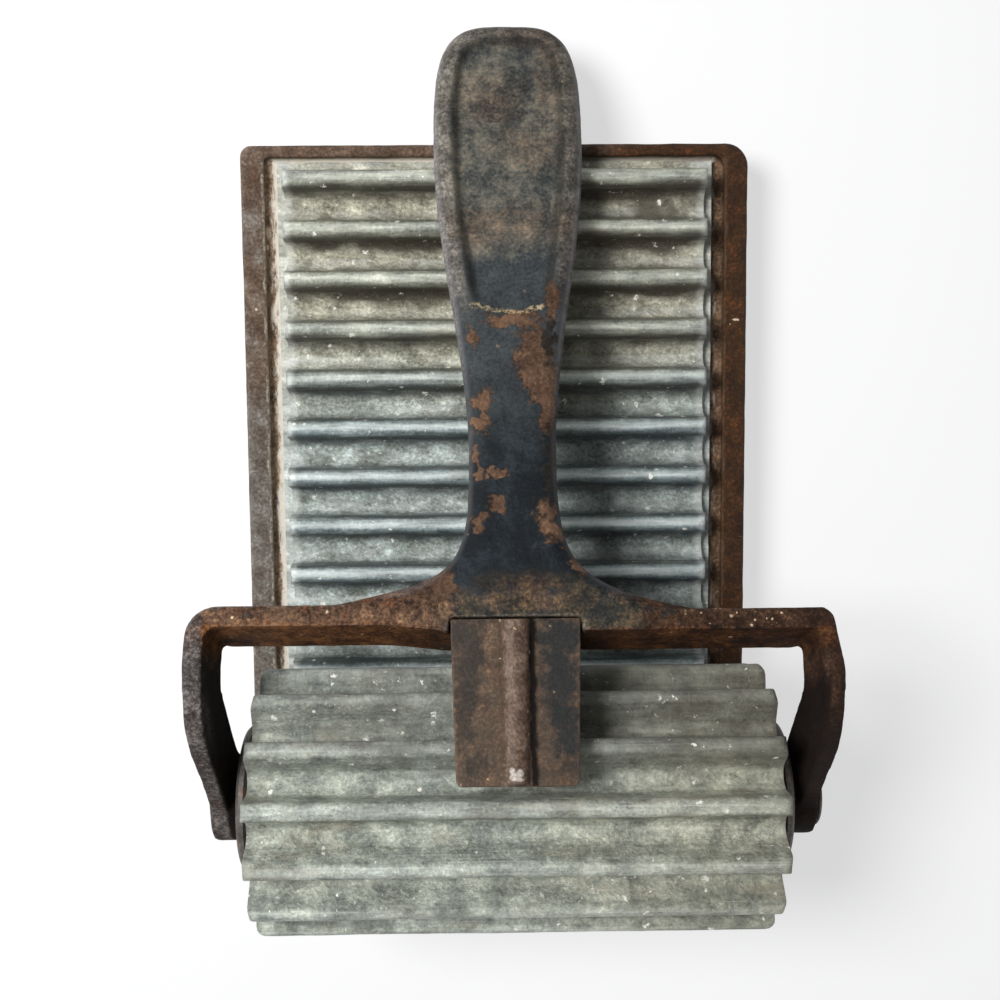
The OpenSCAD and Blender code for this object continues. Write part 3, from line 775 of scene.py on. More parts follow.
def build_roller(tree, size):
    """A sheet of points rolled round the axle, over the flutes, down both ends and back through the bore."""
    grid, u, v = sheet_of_points(tree, size["Flutes"] * size["Steps per flute"] + 1, size["Rows"])
    along = u * size["Flutes"]
    flute = along.math("ROUND")
    off = along - flute
    across, drop = flute_side(abs(off) * 2, size, floor=size["Half step"])
    across = off.math("SIGN") * across
    height = size["Tip radius"] - drop
    inner_rows = 6
    length = v * (inner_rows + 3) - 1
    left = clamp(-length)
    right = clamp(length - inner_rows)
    back = clamp(length - inner_rows - 1)
    step = left + right
    rounded = 0.4
    turn = clamp(step / rounded) * (math.pi / 2)
    spread = size["End rounding"] * turn.math("SINE")
    face = clamp((step - rounded) / (1 - rounded))
    rim = size["Tip radius"] - size["End rounding"] * (1 - turn.math("COSINE"))
    cap = rim - face * (size["Tip radius"] - size["End rounding"] - size["Bore radius"])
    straight = size["Length"] / 2 - size["End rounding"]
    x = ((clamp(length / inner_rows) * 2 - 1) * straight + (right - left).math("SIGN") * spread
         - back * size["Length"])
    radius = (across * across + height * height).math("SQRT")
    shrink = cap.math("MINIMUM", radius) / radius
    angle = size["Lean"] + flute * 2 * size["Half step"]
    cosine, sine = angle.math("COSINE"), angle.math("SINE")
    y = (across * cosine + height * sine) * shrink
    z = (height * cosine - across * sine) * shrink
    moved = tree.node("GeometryNodeSetPosition", {"Geometry": grid, "Position": tree.vector(x, y, z)})
    return roughen(moved, size["Wear"])


def roller_depth(place):
    """0 at the flutes' tips and 1 at their roots, from the distance to the axle."""
    _, y, z = place.axes()
    far = ((y - axle_place.y / MM).math("POWER", 2) + (z - axle_place.z / MM).math("POWER", 2)).math("SQRT")
    return clamp((roller_tip_r / MM - far) / ((roller_tip_r - roller_root_r) / MM))


def roller_stain_and_light(place, deep, grain):
    """Stains, painted shadow, and a painted highlight on the tips.

    The stains are dull smears along the flutes and dark ends; the painted shadow lies where the yoke and
    tongue stand over the flutes at rest, darker to the right.
    """
    x, y, _ = place.axes()
    smear = place.stretch(0.03, 0.14, 0.14).cloud(1.0, 6, 0.66).smooth(0.52, 0.68)
    # Painted shadow of the yoke and tongue over the flutes' top, darker to the right.
    yoke_shadow = (x + 14 * (place.cloud(0.06, 5).strong() - 0.5)).smooth(-90, 20) * (y + 52).smooth(4, 17)
    ends = abs(x - axle_place.x / MM).smooth(shell_end / MM - 1.6, shell_end / MM)
    dirt_and_shade = (0.4 * smear + 0.64 * yoke_shadow + 0.35 * ends) * (0.5 + 0.5 * grain)
    # The pale share is a faint painted highlight on the flute tips.
    return dirt_and_shade, 0.1 * deep.smooth(0.14, 0.02)


def roller_warmth(place):
    """Brownish in patches, more so to the right."""
    return 0.75 + 0.4 * (place.cloud(0.06, 3) - 0.5) + 0.3 * place.axes()[0].smooth(0, 45)


zinc_roller = weathered_zinc("weathered zinc roller", roller_depth, roller_stain_and_light, roller_warmth, 0.14)
half_step = math.pi / roller_flutes
roller_flank, roller_valley = flute_walls(
    roller_crown, roller_root_r * math.sin(half_step),
    roller_tip_r - roller_root_r * math.cos(half_step), half_step)
shell = grow("fluted_zinc_roller", build_roller, {
    "Flutes": roller_flutes, "Steps per flute": 24, "Rows": 91, "Crown radius": roller_crown,
    "Flank length": roller_flank, "Valley radius": roller_valley, "Flank angle": math.pi / 2 - flute_draft,
    "Half step": half_step, "Tip radius": roller_tip_r, "Bore radius": core_r, "Length": 2 * shell_end,
    "End rounding": flute_end_round, "Lean": rest_lean, "Wear": 0.12 * MM}, zinc_roller)
shell.data.transform(Matrix.Translation(axle_place))
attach(shell, "roller")
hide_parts("roller_shell")

# End discs: two iron washers that close the roller's ends.
# Each sits on a spigot of the core, which is riveted over it, and keeps the flutes off the yoke.
disc_r = 13.0 * MM
disc_iron = bare_iron("dark disc iron", 0.1)
for side, name in ((-1, "end_disc_left"), (1, "end_disc_right")):
    disc_low, disc_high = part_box(name)
    inner, outer = sorted((disc_low.x - axle_place.x, disc_high.x - axle_place.x), key=abs)
    ring = [(inner, spigot_r), (outer, spigot_r), (outer, disc_r), (inner, disc_r)]
    disc = add_piece(name.replace("end_disc", "roller_washer"), lathe(name, eased(ring, 0.5 * MM)), disc_iron)
    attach(disc, "roller")
    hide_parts(name)

# Axle and burr: one iron rod through the yoke's eyes and the roller, riveted into a low dome at both ends.
# At the right-hand end the dome was hammered over a small washer, the burr.
axle_low, axle_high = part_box("axle_rod")
burr_low, burr_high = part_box("axle_burr")
head_r = 4.8 * MM
head_h = 1.0 * MM
burr_r = (burr_high.z - burr_low.z) / 2
left_face = axle_low.x + head_h - axle_place.x
right_face = axle_high.x - head_h - axle_place.x


def dome(face, direction, radius, height, steps=8):
    """Half section of a low dome, from its rim to its top."""
    ball = (radius ** 2 + height ** 2) / (2 * height)
    reach = math.asin(radius / ball)
    turns = [reach * (1 - i / steps) for i in range(steps)] + [0.002]
    return [(face + direction * (ball * math.cos(t) - ball + height), ball * math.sin(t)) for t in turns]


axle_outline = dome(left_face, -1, head_r, head_h)[::-1] + [(left_face, axle_r), (right_face, axle_r)]
axle_outline += dome(right_face, 1, head_r, head_h)
axle_iron = bare_iron("worn axle iron", 0.2)
axle_mesh = skin("axle_pin", [[(x, *point) for point in circle(r, 48)] for x, r in axle_outline])
axle_mesh.transform(Matrix.Translation(axle_place))
wear(axle_mesh, depth=0.12 * MM, size=2.5 * MM, seed=5)
axle = add_piece("axle_pin", axle_mesh, axle_iron)
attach(axle, "axle")
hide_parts("axle_rod")
burr_in, burr_out = burr_low.x - axle_place.x, burr_high.x - axle_place.x
burr_ring = [(burr_in, axle_r), (burr_out, axle_r), (burr_out, burr_r), (burr_in, burr_r)]
burr = add_piece("axle_washer", lathe("axle_washer", eased(burr_ring, 0.25 * MM), sides=48), axle_iron)
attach(burr, "axle")
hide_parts("axle_burr")

# Yoke and handle: one iron casting, a crossbar with two bent arms and a flat spoon-shaped handle.
# The arms' eyes turn on the axle. The grip has a round raised border about a plain sunk panel.
# It was japanned blue-black; the paint is worn off the arms and crossbar and chipped down the neck.
handle_tilt = math.radians(20.4906)
yoke_top = 29.0676 * MM
bar_front = 25.5676 * MM
bar_back = 29.1676 * MM
bar_h = 14.0 * MM
arm_in = 50.25 * MM
arm_out = 53.65 * MM
arm_w = 12.2 * MM
arm_slope = math.radians(60)
bend_r = 3.5 * MM
eye_r = 7.5 * MM
boss_face = 48.55 * MM
eye_out = 54.05 * MM
arm_spread = 1.0 * MM
left_corner = 5.0 * MM
right_corner = 2.6 * MM
yoke_fillet = 1.8 * MM
bar_draft = math.radians(6.5)
arm_draft = math.radians(4)
heel_room = 8.8 * MM
left_lag = 1.2 * MM
left_bulge = 0.55 * MM
right_lean = 1.2 * MM
handle_t = 5.6 * MM
handle_tip = bar_back + 113.5 * MM
neck_w = 15.2 * MM
neck_at = bar_back + 26 * MM
grip_w = 27.9 * MM
grip_at = bar_back + 88 * MM
flare_w = 24 * MM
flare_l = 4.2 * MM
border_w = 3.8 * MM
panel_depth = 1.0 * MM
panel_near = bar_back + 52.6 * MM
panel_bow = 3.2 * MM
edge_w = 3.4 * MM
edge_drop = 2.0 * MM
under_round = 1.2 * MM
tip_power = 3.6
tongue_z = 25.2676 * MM
notch_back = 27.8676 * MM
notch_half = 11.0 * MM
handle_frame = Matrix.Translation(axle_place) @ Matrix.Rotation(-handle_tilt, 4, "X")


def prism(name, outline, axis, low, high):
    """A straight solid over a flat outline. The outline's two numbers fill the axes other than axis."""
    def spread(a, b, c):
        return {"x": (c, a, b), "y": (a, c, b), "z": (a, b, c)}[axis]
    return put(name, skin(name, [[spread(a, b, c) for a, b in outline] for c in (low, high)]))


def box_plan(half, near, far):
    """The outline of a rectangle that is even about the middle."""
    return [(-half, near), (half, near), (half, far), (-half, far)]


def rounded_outline(corners, steps=8):
    """A flat outline through corners (a, b, radius), each turned on an arc of its own radius."""
    points = []
    for i, (a, b, radius) in enumerate(corners):
        here = Vector((a, b))
        before = Vector(corners[i - 1][:2]) - here
        after = Vector(corners[(i + 1) % len(corners)][:2]) - here
        before.normalize()
        after.normalize()
        half = before.angle(after) / 2
        if radius <= 0 or half > math.radians(89):
            points.append((a, b))
            continue
        centre = here + (before + after).normalized() * (radius / math.sin(half))
        start = here + before * (radius / math.tan(half)) - centre
        end = here + after * (radius / math.tan(half)) - centre
        sweep = start.angle_signed(end)
        for step in range(steps + 1):
            turn = -sweep * step / steps
            points.append((centre.x + start.x * math.cos(turn) - start.y * math.sin(turn),
                           centre.y + start.x * math.sin(turn) + start.y * math.cos(turn)))
    return points


def smooth_step(share):
    share = min(1.0, max(0.0, share))
    return share * share * (3 - 2 * share)


def handle_body(a):
    """Half the handle's width at a place along it, before the tip rounds it off."""
    swell = smooth_step((a - neck_at) / (grip_at - neck_at))
    return neck_w / 2 + (grip_w - neck_w) / 2 * swell + flare_w * math.exp(-(a - bar_back) / flare_l)


def handle_half(a):
    """Half the handle's width at a place along it, with its round tip."""
    if a <= grip_at:
        return handle_body(a)
    share = min(1.0, (a - grip_at) / (handle_tip - grip_at))
    return handle_body(a) * max(0.0, 1 - share ** tip_power) ** (1 / tip_power)


outline_points = []
side_points, tip_points = 3000, 4000
for i in range(side_points + 1):
    a = notch_back + (grip_at - notch_back) * i / side_points
    outline_points.append((handle_half(a), a, 0))
for i in range(1, tip_points + 1):
    turn = math.pi / 2 * i / tip_points
    a = grip_at + (handle_tip - grip_at) * math.sin(turn) ** (2 / tip_power)
    outline_points.append((handle_body(a) * max(0.0, math.cos(turn)) ** (2 / tip_power), a, 0))
outline_tree = kdtree.KDTree(len(outline_points))
for i, point in enumerate(outline_points):
    outline_tree.insert(point, i)
outline_tree.balance()


def edge_distance(x, a):
    """How far a point of the plan lies inside the handle's edge."""
    return outline_tree.find((abs(x), a, 0))[2]


def top_drop(x, a):
    """How far the handle's top lies below the crossbar's: its round edge and the grip's sunk panel."""
    inside = edge_distance(x, a)
    edge = 1 - min(1.0, inside / edge_w)
    panel_half = max(handle_body(a) - border_w, MM)
    sunk = min(inside - border_w, a - panel_near - panel_bow * (x / panel_half) ** 2)
    return edge_drop * (1 - math.sqrt(1 - edge * edge)) + panel_depth * smooth_step(sunk / (1.3 * MM))


def handle_ring(a, points=44):
    """The handle's section at a place along it: over its top from left to right, and back underneath."""
    half = handle_half(a)
    places = [half * math.sin(math.pi * (i / points - 0.5)) for i in range(points + 1)]
    ring = [(x, a, yoke_top - top_drop(x, a)) for x in places]
    for x in reversed(places):
        under = 1 - min(1.0, edge_distance(x, a) / under_round)
        ring.append((x, a, yoke_top - handle_t + under_round * (1 - math.sqrt(1 - under * under))))
    return ring


def blend_shells(name, shells, voxel, passes):
    """Fuses overlapping closed solids into one skin and eases it, so that joints become fillets."""
    work = bmesh.new()
    for shell_piece in shells:
        work.from_mesh(shell_piece.data)
        bpy.data.objects.remove(shell_piece)
    mesh = bpy.data.meshes.new(name)
    work.to_mesh(mesh)
    work.free()
    holder = put(name, mesh)
    remesh = holder.modifiers.new("fuse", "REMESH")
    remesh.mode = "VOXEL"
    remesh.voxel_size = voxel
    ease = holder.modifiers.new("ease", "SMOOTH")
    ease.factor = 0.5
    ease.iterations = passes
    made = plain_mesh(holder)
    bpy.data.objects.remove(holder)
    return made


def rod(name, x0, x1, radius):
    """A round solid along the axle."""
    return put(name, skin(name, [[(x, *point) for point in circle(radius, 64)] for x in (x0, x1)]))


front = -eye_r - MM
front_spread, inner_spread = arm_spread * front / bar_back, arm_spread * bar_front / bar_back
arm_plan = [(arm_in + inner_spread, bar_front, yoke_fillet), (arm_in + front_spread, front, 0),
            (arm_out + front_spread, front, 0)]
outer = (arm_out + arm_spread, bar_back)
right_plan = arm_plan + [(*outer, right_corner)]
left_plan = [(-x, a, radius) for x, a, radius in arm_plan + [(*outer, left_corner)]]
ease_in = heel_room + 4 * MM
front_points = [(x, bar_front, 0) for x in (-ease_in, -heel_room, heel_room, ease_in)]
plan = rounded_outline(right_plan + left_plan[::-1] + front_points)
bend_out = bend_r + arm_w
bend_z = yoke_top - bend_out
bend_mid = bend_r + arm_w / 2
arm_run = (bend_z + bend_mid * math.cos(arm_slope)) / math.sin(arm_slope)
bend_y = bend_mid * math.sin(arm_slope) + arm_run * math.cos(arm_slope)
eye_turn = math.degrees(math.asin(arm_w / 2 / eye_r))
slope_turn = math.degrees(arm_slope)
side = [(bar_back, yoke_top)]
side += arc(bend_y, bend_z, bend_out, 90, 90 + slope_turn, 16)
side += arc(0, 0, eye_r, slope_turn + eye_turn, 360 + slope_turn - eye_turn, 40)
side += arc(bend_y, bend_z, bend_r, 90 + slope_turn, 90, 10)
side += [(bar_front, yoke_top - arm_w), (bar_front, yoke_top - bar_h), (bar_back, yoke_top - bar_h)]
strap = prism("strap", plan, "z", -eye_r - MM, yoke_top + MM)
apply_boolean(strap, prism("strap side", side, "x", -arm_out - 2 * MM, arm_out + 2 * MM), "INTERSECT")


def arm_depth(a, n):
    """How far a point of the strap lies below its top: the bar's, the bend's or the sloping arm's."""
    if a >= bend_y:
        return yoke_top - n
    if math.atan2(n - bend_z, bend_y - a) > math.pi / 2 - arm_slope:
        return bend_out - math.hypot(a - bend_y, n - bend_z)
    return arm_w / 2 + math.sin(arm_slope) * a - math.cos(arm_slope) * n


inner_x = arm_in + inner_spread - yoke_fillet
inner_a = bar_front - yoke_fillet
for vertex in strap.data.vertices:
    x, a, n = abs(vertex.co.x), vertex.co.y, vertex.co.z
    depth = min(bar_h, max(0.0, arm_depth(a, n)))
    if abs(a - bar_front) < 0.05 * MM and heel_room + MM < x <= inner_x:
        vertex.co.y -= math.tan(bar_draft) * depth
    elif a <= inner_a and abs(x - arm_in - arm_spread * a / bar_back) < 0.3 * MM:
        vertex.co.x -= math.copysign(math.tan(arm_draft) * depth, vertex.co.x)
    elif x > inner_x and a > inner_a and math.hypot(x - inner_x, a - inner_a) < yoke_fillet + 0.2 * MM:
        turn = math.atan2(a - inner_a, x - inner_x)
        vertex.co.x -= math.copysign(math.cos(turn) * math.tan(arm_draft) * depth, vertex.co.x)
        vertex.co.y -= math.sin(turn) * math.tan(bar_draft) * depth
notch_plan = box_plan(notch_half, bar_front - MM, notch_back)
apply_boolean(strap, prism("notch", notch_plan, "z", tongue_z, yoke_top + MM), "DIFFERENCE")
first, last = notch_back + 0.5 * MM, handle_tip - 0.02 * MM
spans = 150
stations = [first + (last - first) * (1 - math.cos(math.pi * i / spans)) / 2 for i in range(spans + 1)]
spoon = put("spoon", skin("spoon", [handle_ring(a) for a in stations]))
eyes = [rod("eye", sign * boss_face, sign * eye_out, eye_r) for sign in (-1, 1)]
yoke_mesh = blend_shells("cast_handle_and_yoke", [strap, spoon, *eyes], voxel=0.42 * MM, passes=7)


def rise(value, start, length):
    """0 up to start and 1 past its length, both in millimetres."""
    return smooth_step((value - start * MM) / (length * MM))


for vertex in yoke_mesh.vertices:
    x, a = vertex.co.x, vertex.co.y
    on_arm = rise(-x, 44, 4) * rise(a, 3, 8)
    on_bar = rise(-x, 8, 16) * (1 - rise(a, 36, 10))
    vertex.co.x -= left_bulge * on_arm * (1 - rise(a, 20, 10))
    vertex.co.y += left_lag * on_bar * rise(a, 4, 18)
    vertex.co.x -= right_lean * rise(x, 50, 3.5) * rise(a, 18, 10)
wear(yoke_mesh, depth=0.16 * MM, size=3.2 * MM, seed=2)
chips = [(4.3, 73.6, 3.6, 5.6), (5.0, 68.6, 2.4, 3.6), (6.1, 64.2, 1.5, 4.6), (-4.6, 66.2, 2.1, 2.3),
         (-5.1, 62.0, 1.7, 1.8), (-6.2, 55.4, 0.8, 2.4), (-2.3, 53.0, 2.0, 0.9), (-5.6, 53.2, 0.8, 1.4),
         (-2.9, 47.3, 1.8, 1.4), (-6.2, 44.4, 1.5, 1.2), (5.2, 46.4, 1.8, 2.0), (6.4, 42.6, 2.0, 2.3),
         (0.6, 81.4, 5.0, 1.5), (-6.9, 78.0, 0.9, 2.0), (7.4, 85.0, 1.3, 4.2), (10.9, 36.9, 1.3, 1.9),
         (-13.0, 33.6, 2.6, 3.4)]
brown_smears = [(7.6, 131.0, 2.2, 9.0), (2.0, 100.5, 9.0, 3.6), (-6.4, 99.4, 3.6, 3.4),
                (1.7, 139.4, 4.0, 1.6), (4.0, 116.0, 6.0, 4.0), (-3.0, 126.0, 6.0, 5.0),
                (2.4, 30.4, 9.0, 1.6), (2.0, 33.4, 5.0, 1.6)]
lint = [(33.0, 28.4, 4.0, 1.5), (39.0, 27.8, 4.0, 1.2), (44.0, 27.6, 2.0, 1.0)]
lip_highlight_ovals = [(-5.6, 84.0, 1.6, 0.6), (-2.6, 83.2, 2.0, 0.45), (1.4, 82.9, 2.0, 0.4), (4.8, 83.6, 1.6, 0.6)]
edge_shade_strips = [(6.4, 55.0, 1.3, 5.4), (7.0, 78.0, 1.0, 5.0)]


def mark_edges(mesh, rounds=10):
    """Stores how sharply the surface turns outwards, as the attribute edge, for wear along edges and painted
    shade in hollows.
    """
    flat = [vertex.co.copy() for vertex in mesh.vertices]
    links = [edge.vertices[:] for edge in mesh.edges]
    counts = [0] * len(flat)
    for a, b in links:
        counts[a] += 1
        counts[b] += 1
    for _ in range(rounds):
        sums = [Vector() for _ in flat]
        for a, b in links:
            sums[a] += flat[b]
            sums[b] += flat[a]
        flat = [total / max(count, 1) for total, count in zip(sums, counts)]
    turn = [(vertex.co - soft).dot(vertex.normal) / MM for vertex, soft in zip(mesh.vertices, flat)]
    mesh.attributes.new("edge", "FLOAT", "POINT").data.foreach_set("value", turn)


def handle_place(place):
    """The coordinates across, along and above the handle, from the middle of the axle."""
    back = Matrix.Rotation(handle_tilt, 3, "X") @ axle_place / MM
    return place.node("ShaderNodeMapping",
                      {"Vector": place, "Rotation": (handle_tilt, 0, 0), "Location": tuple(-back)})


def mark_inset(mesh):
    """Stores how far each point lies inside the handle's outline, in millimetres, as the attribute inset."""
    far = [edge_distance(vertex.co.x, vertex.co.y) / MM if vertex.co.y > bar_back + 2 * MM else 20.0
           for vertex in mesh.vertices]
    mesh.attributes.new("inset", "FLOAT", "POINT").data.foreach_set("value", far)


def own_value(place, name):
    """A value that the piece's mesh carries, point by point."""
    return place.node("ShaderNodeAttribute", out="Fac", attribute_name=name)


def rust_tones(blend, dull):
    """Brown rust by a blend of noises, browner and darker where dull is 1."""
    bright = blend.ramp((0.1, 46, 31, 23), (0.36, 84, 63, 50), (0.58, 112, 87, 70), (0.78, 138, 107, 83),
                        (0.95, 178, 140, 104))
    dark = blend.ramp((0.1, 24, 15, 10), (0.45, 54, 38, 28), (0.7, 78, 55, 41), (0.95, 124, 86, 58))
    return dull.mix(bright, dark)


def japanned_iron(name):
    """Black japan over cast iron: blue-black where it holds, rust where it is chipped or rubbed through, with
    painted shade and painted highlights.
    """
    material, place = open_material(name)
    spoon_place = handle_place(place)
    x, a, n = spoon_place.axes()
    edge, inset = own_value(place, "edge"), own_value(place, "inset")
    patch = place.cloud(0.2, 6, 0.62).strong()
    grain = place.cloud(1.6, 7, 0.74).strong()
    smear = place.cloud(0.3, 7, 0.68).strong()
    blend = 0.4 * patch + 0.6 * grain
    ragged = 0.5 * (smear - 0.5) + 0.55 * (place.cloud(0.9, 5, 0.7).strong() - 0.5)
    # The paint: blue-black on the neck, greyer along it, a brown film on the grip, grime by the crossbar.
    paint = (0.65 * patch + 0.35 * grain).ramp((0.1, 7, 10, 13), (0.5, 17, 23, 28), (0.9, 38, 44, 49))
    paint = (0.78 * a.smooth(50, 78)).mix(paint, blend.mix((36, 41, 44), (78, 82, 83)))
    broad = place.cloud(0.09, 5, 0.6).strong()
    film = (0.36 * broad + 0.34 * smear + 0.3 * grain).ramp(
        (0.12, 26, 30, 32), (0.36, 58, 61, 59), (0.56, 94, 92, 84), (0.76, 124, 117, 103),
        (0.95, 160, 146, 123))
    grip = (a + 6 * (patch - 0.5)).smooth(90, 101)
    paint = (0.92 * grip).mix(paint, film)
    # The grip's border: greyer paint, lighter towards the left as a painted highlight.
    border = (inset + 0.8 * (grain - 0.5)).smooth(3.8, 2.6) * a.smooth(78, 92)
    paint = (0.8 * border).mix(paint, (0.55 * grain + 0.45 * smear - 0.012 * x).ramp(
        (0.1, 40, 38, 35), (0.45, 78, 73, 67), (0.75, 116, 111, 104), (0.95, 154, 148, 140)))
    bar = (a + 2.5 * (patch - 0.5)).smooth(35, 31) * (
        abs(x - 4) + 6 * (patch - 0.5)).smooth(13, 19)
    grime = (a + 4 * (patch - 0.5)).smooth(36, 30) * 0.8
    held = place.stretch(1, 1, 1, shift=(7, 3, 1)).cloud(0.16, 5, 0.6).smooth(0.5, 0.62)
    grime = grime * (1 - 0.75 * held) * (0.3 + 0.7 * grain)
    paint = grime.mix(paint, (0.6 * smear + 0.4 * grain).ramp(
        (0.2, 34, 36, 33), (0.5, 70, 66, 53), (0.8, 118, 97, 70)))
    # Chips with a warped outline, brown smears, and the rust of crossbar and arms.
    drift = place.node("ShaderNodeTexNoise", {"Vector": place, "Scale": 0.4, "Detail": 3.0}, out="Color")
    drift = drift.stretch(6, 6, 0, shift=(-0.5, -0.5, 0))
    bent = drift.node("ShaderNodeVectorMath", {0: spoon_place, 1: drift}, operation="ADD")
    worn = marks(bent, chips, 0.8 * ragged, 0.26)
    faint = marks(spoon_place, brown_smears, 1.6 * ragged, 0.7)
    rust = clamp(worn + 0.4 * faint * (0.4 + 0.8 * smear) + bar)
    dull = clamp(0.8 * x.smooth(4, 26) * a.smooth(42, 36) + 0.1 * bar + 0.3 * faint)
    calm = 0.34 + 0.42 * (0.75 * patch + 0.25 * grain)
    tones = rust_tones(0.5 + 1.25 * (0.3 * patch + 0.4 * grain + 0.3 * smear - 0.5), dull)
    ember = bar * place.cloud(0.28, 7, 0.7).smooth(0.52, 0.66) * x.smooth(10, 0)
    tones = (0.6 * ember).mix(tones, grain.mix((92, 48, 26), (158, 98, 60)))
    left = bar * place.stretch(0.7, 1.0, 1.0, shift=(13, 5, 2)).cloud(0.26, 6, 0.66).smooth(0.56, 0.64)
    tones = (0.75 * left).mix(tones, grain.mix((20, 20, 20), (62, 60, 58)))
    colour = rust.mix(paint, (0.65 * worn).mix(tones, rust_tones(calm, 0.6 * smear)))
    chip_rim = worn.smooth(0.05, 0.4) * worn.smooth(0.95, 0.5) * (0.4 + 0.6 * smear)
    colour = (0.7 * chip_rim).mix(colour, (26, 18, 13))
    # A painted highlight along the lip at the near end of the grip's sunk panel.
    painted_lip_light = 0.8 * marks(spoon_place, lip_highlight_ovals, 1.3 * ragged, 0.5) * grain.smooth(0.3, 0.75)
    colour = painted_lip_light.mix(colour, (200, 178, 138))
    # The crossbar's front, brown at the left, with painted shadow beside the tongue.
    lag = x.smooth(-8, -24) * (left_lag / MM)
    face = (a - lag - bar_front / MM).smooth(0.7, 0.1) * (n - 13).smooth(0, 2) * a.smooth(21.5, 23)
    face_blend = 0.35 * smear + 0.35 * grain + 0.3 * patch + 0.14 * x.smooth(10, -20)
    colour = (0.85 * face).mix(colour, face_blend.ramp(
        (0.2, 16, 9, 6), (0.42, 66, 40, 23), (0.6, 98, 61, 36), (0.85, 150, 100, 58)))
    tongue_shadow = 1 - (abs(x) + 9 * (smear - 0.5)).smooth(14, 27)
    colour = (0.8 * face * tongue_shadow * smear.smooth(0.2, 0.6)).mix(colour, (14, 12, 10))
    # Painted shade in strips along the neck's right edge, a painted highlight along the edge, painted shade in
    # the groove inside the grip's border, rubbed edges, and painted shade in hollows.
    bare = marks(bent, edge_shade_strips, ragged, 0.3)
    colour = (0.9 * bare).mix(colour, grain.mix((7, 6, 5), (46, 42, 38)))
    line = (inset + 0.7 * (grain - 0.5)).smooth(1.3, 0.3) * (0.3 + 0.7 * a.smooth(62, 88))
    colour = (0.8 * line * (0.55 + 0.45 * smear)).mix(colour, grain.mix((88, 85, 86), (162, 158, 159)))
    groove = inset.smooth(3.0, 3.8) * inset.smooth(5.4, 4.3) * a.smooth(84, 89)
    colour = (0.6 * groove).mix(colour, (24, 23, 20))
    rubbed = clamp((edge + 0.1 * (grain - 0.5)).smooth(0.12, 0.45))
    rub = 0.5 - 0.35 * x.smooth(4, 26) * a.smooth(42, 36)
    colour = (rubbed * rub).mix(colour, grain.mix((90, 84, 80), (166, 157, 147)))
    hollow_shade = (-edge + 0.05 * (grain - 0.5)).smooth(0.06, 0.3)
    colour = (0.6 * hollow_shade).mix(colour, (22, 20, 18))
    # The arms: black inside from black paint and painted shade, black low on the right arm from black paint
    # and painted shade, and rubbed to grey metal at the left, lighter there partly as painted light from the
    # left.
    far = abs(x) - a * (arm_spread / bar_back)
    below = 1 - (a + 2 * patch + 4 * x.smooth(-10, 10)).smooth(21, 26)
    colour = (0.96 * below * far.smooth(44, 47) * far.smooth(51.5, 50.7)).mix(colour, (5, 5, 5))
    right_arm_shade = x.smooth(44, 48) * (a + 2 * patch).smooth(17, 9)
    colour = (0.9 * right_arm_shade).mix(colour, grain.mix((5, 5, 5), (34, 31, 29)))
    corner = x.smooth(40, 52) * a.smooth(37, 33) * (0.5 + 0.5 * smear)
    colour = (0.5 * corner).mix(colour, (44, 30, 26))
    lit_steel = x.smooth(-44, -51) * (a + 4 * (patch - 0.5)).smooth(33, 24) * (0.75 + 0.25 * patch)
    colour = clamp(lit_steel * far.smooth(50.5, 51.3)).mix(colour, (0.6 * grain + 0.4 * smear).ramp(
        (0.1, 34, 31, 30), (0.5, 78, 74, 73), (0.9, 140, 136, 134)))
    # Bright grains in the rust, and lint on the crossbar.
    flecked = marks(spoon_place, lint, ragged, 0.4) * n.smooth(26.5, 28.3)
    glint = clamp(specks(place, 2.6, 0.4, 0.16, 0.6 * (grain - 0.5)) * (0.15 + rust)
                  + specks(place, 0.9, 0.34, 0.7, 0.3 * (grain - 0.5)) * flecked)
    colour = glint.mix(colour, (226, 200, 166))
    height = 0.4 * rust * grain + 0.12 * grain + 0.16 * patch - 0.3 * worn
    close_material(place, colour, roughness=0.42 + 0.15 * grain + 0.3 * rust, metallic=0.3 * rubbed,
                   height=height, depth=0.3, gloss=0.1)
    return material


black_paint = japanned_iron("worn japanned iron")
yoke = add_piece("cast_handle_and_yoke", yoke_mesh, black_paint, sharp=60)
bore_end = arm_out + 9 * MM
apply_boolean(yoke, rod("bore", -bore_end, bore_end, axle_r + run_clear), "DIFFERENCE", "MANIFOLD")
join_edges(yoke.data)
mark_edges(yoke.data)
mark_inset(yoke.data)
yoke.data.transform(handle_frame)
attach(yoke, "handle")
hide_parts("handle_yoke")

# Tongue: a flat iron lip that reaches forward over the roller, with a round rib down its middle.
# It is a small casting, let into a notch in the crossbar.
# Its heel is bent down behind the flutes and riveted to the crossbar's front.
tongue_t = 3.0 * MM
tongue_w = 21.9 * MM
tongue_tip_w = 20.0 * MM
tongue_tip = 0.5 * MM
rib_back_r = 2.5 * MM
rib_front_r = 1.9 * MM
heel_t = 2.0 * MM
heel_h = 8.5 * MM
heel_w = 17.0 * MM
tongue_back = notch_back - 0.03 * MM
tip_round = 1.1 * MM
back_round = 0.2 * MM
tongue_plan = rounded_outline([
    (-tongue_w / 2, tongue_back, back_round), (-tongue_tip_w / 2, tongue_tip, tip_round),
    (tongue_tip_w / 2, tongue_tip, tip_round), (tongue_w / 2, tongue_back, back_round)])
lip = prism("lip", tongue_plan, "z", tongue_z, tongue_z + tongue_t)
heel = prism("heel", box_plan(heel_w / 2, bar_front - heel_t, bar_front), "z",
             tongue_z - heel_h, tongue_z + tongue_t / 2)
rib_back = notch_back - 0.4 * MM
rib_front = tongue_tip + 0.3 * MM
rib_z = tongue_z + tongue_t - 0.3 * MM


def rib_ring(share):
    """The rib's section, a share of the way from the crossbar to the tip."""
    a = rib_back + (rib_front - rib_back) * share
    radius = rib_back_r + (rib_front_r - rib_back_r) * share
    return [(x, a, rib_z + z) for x, z in circle(radius, 40)]


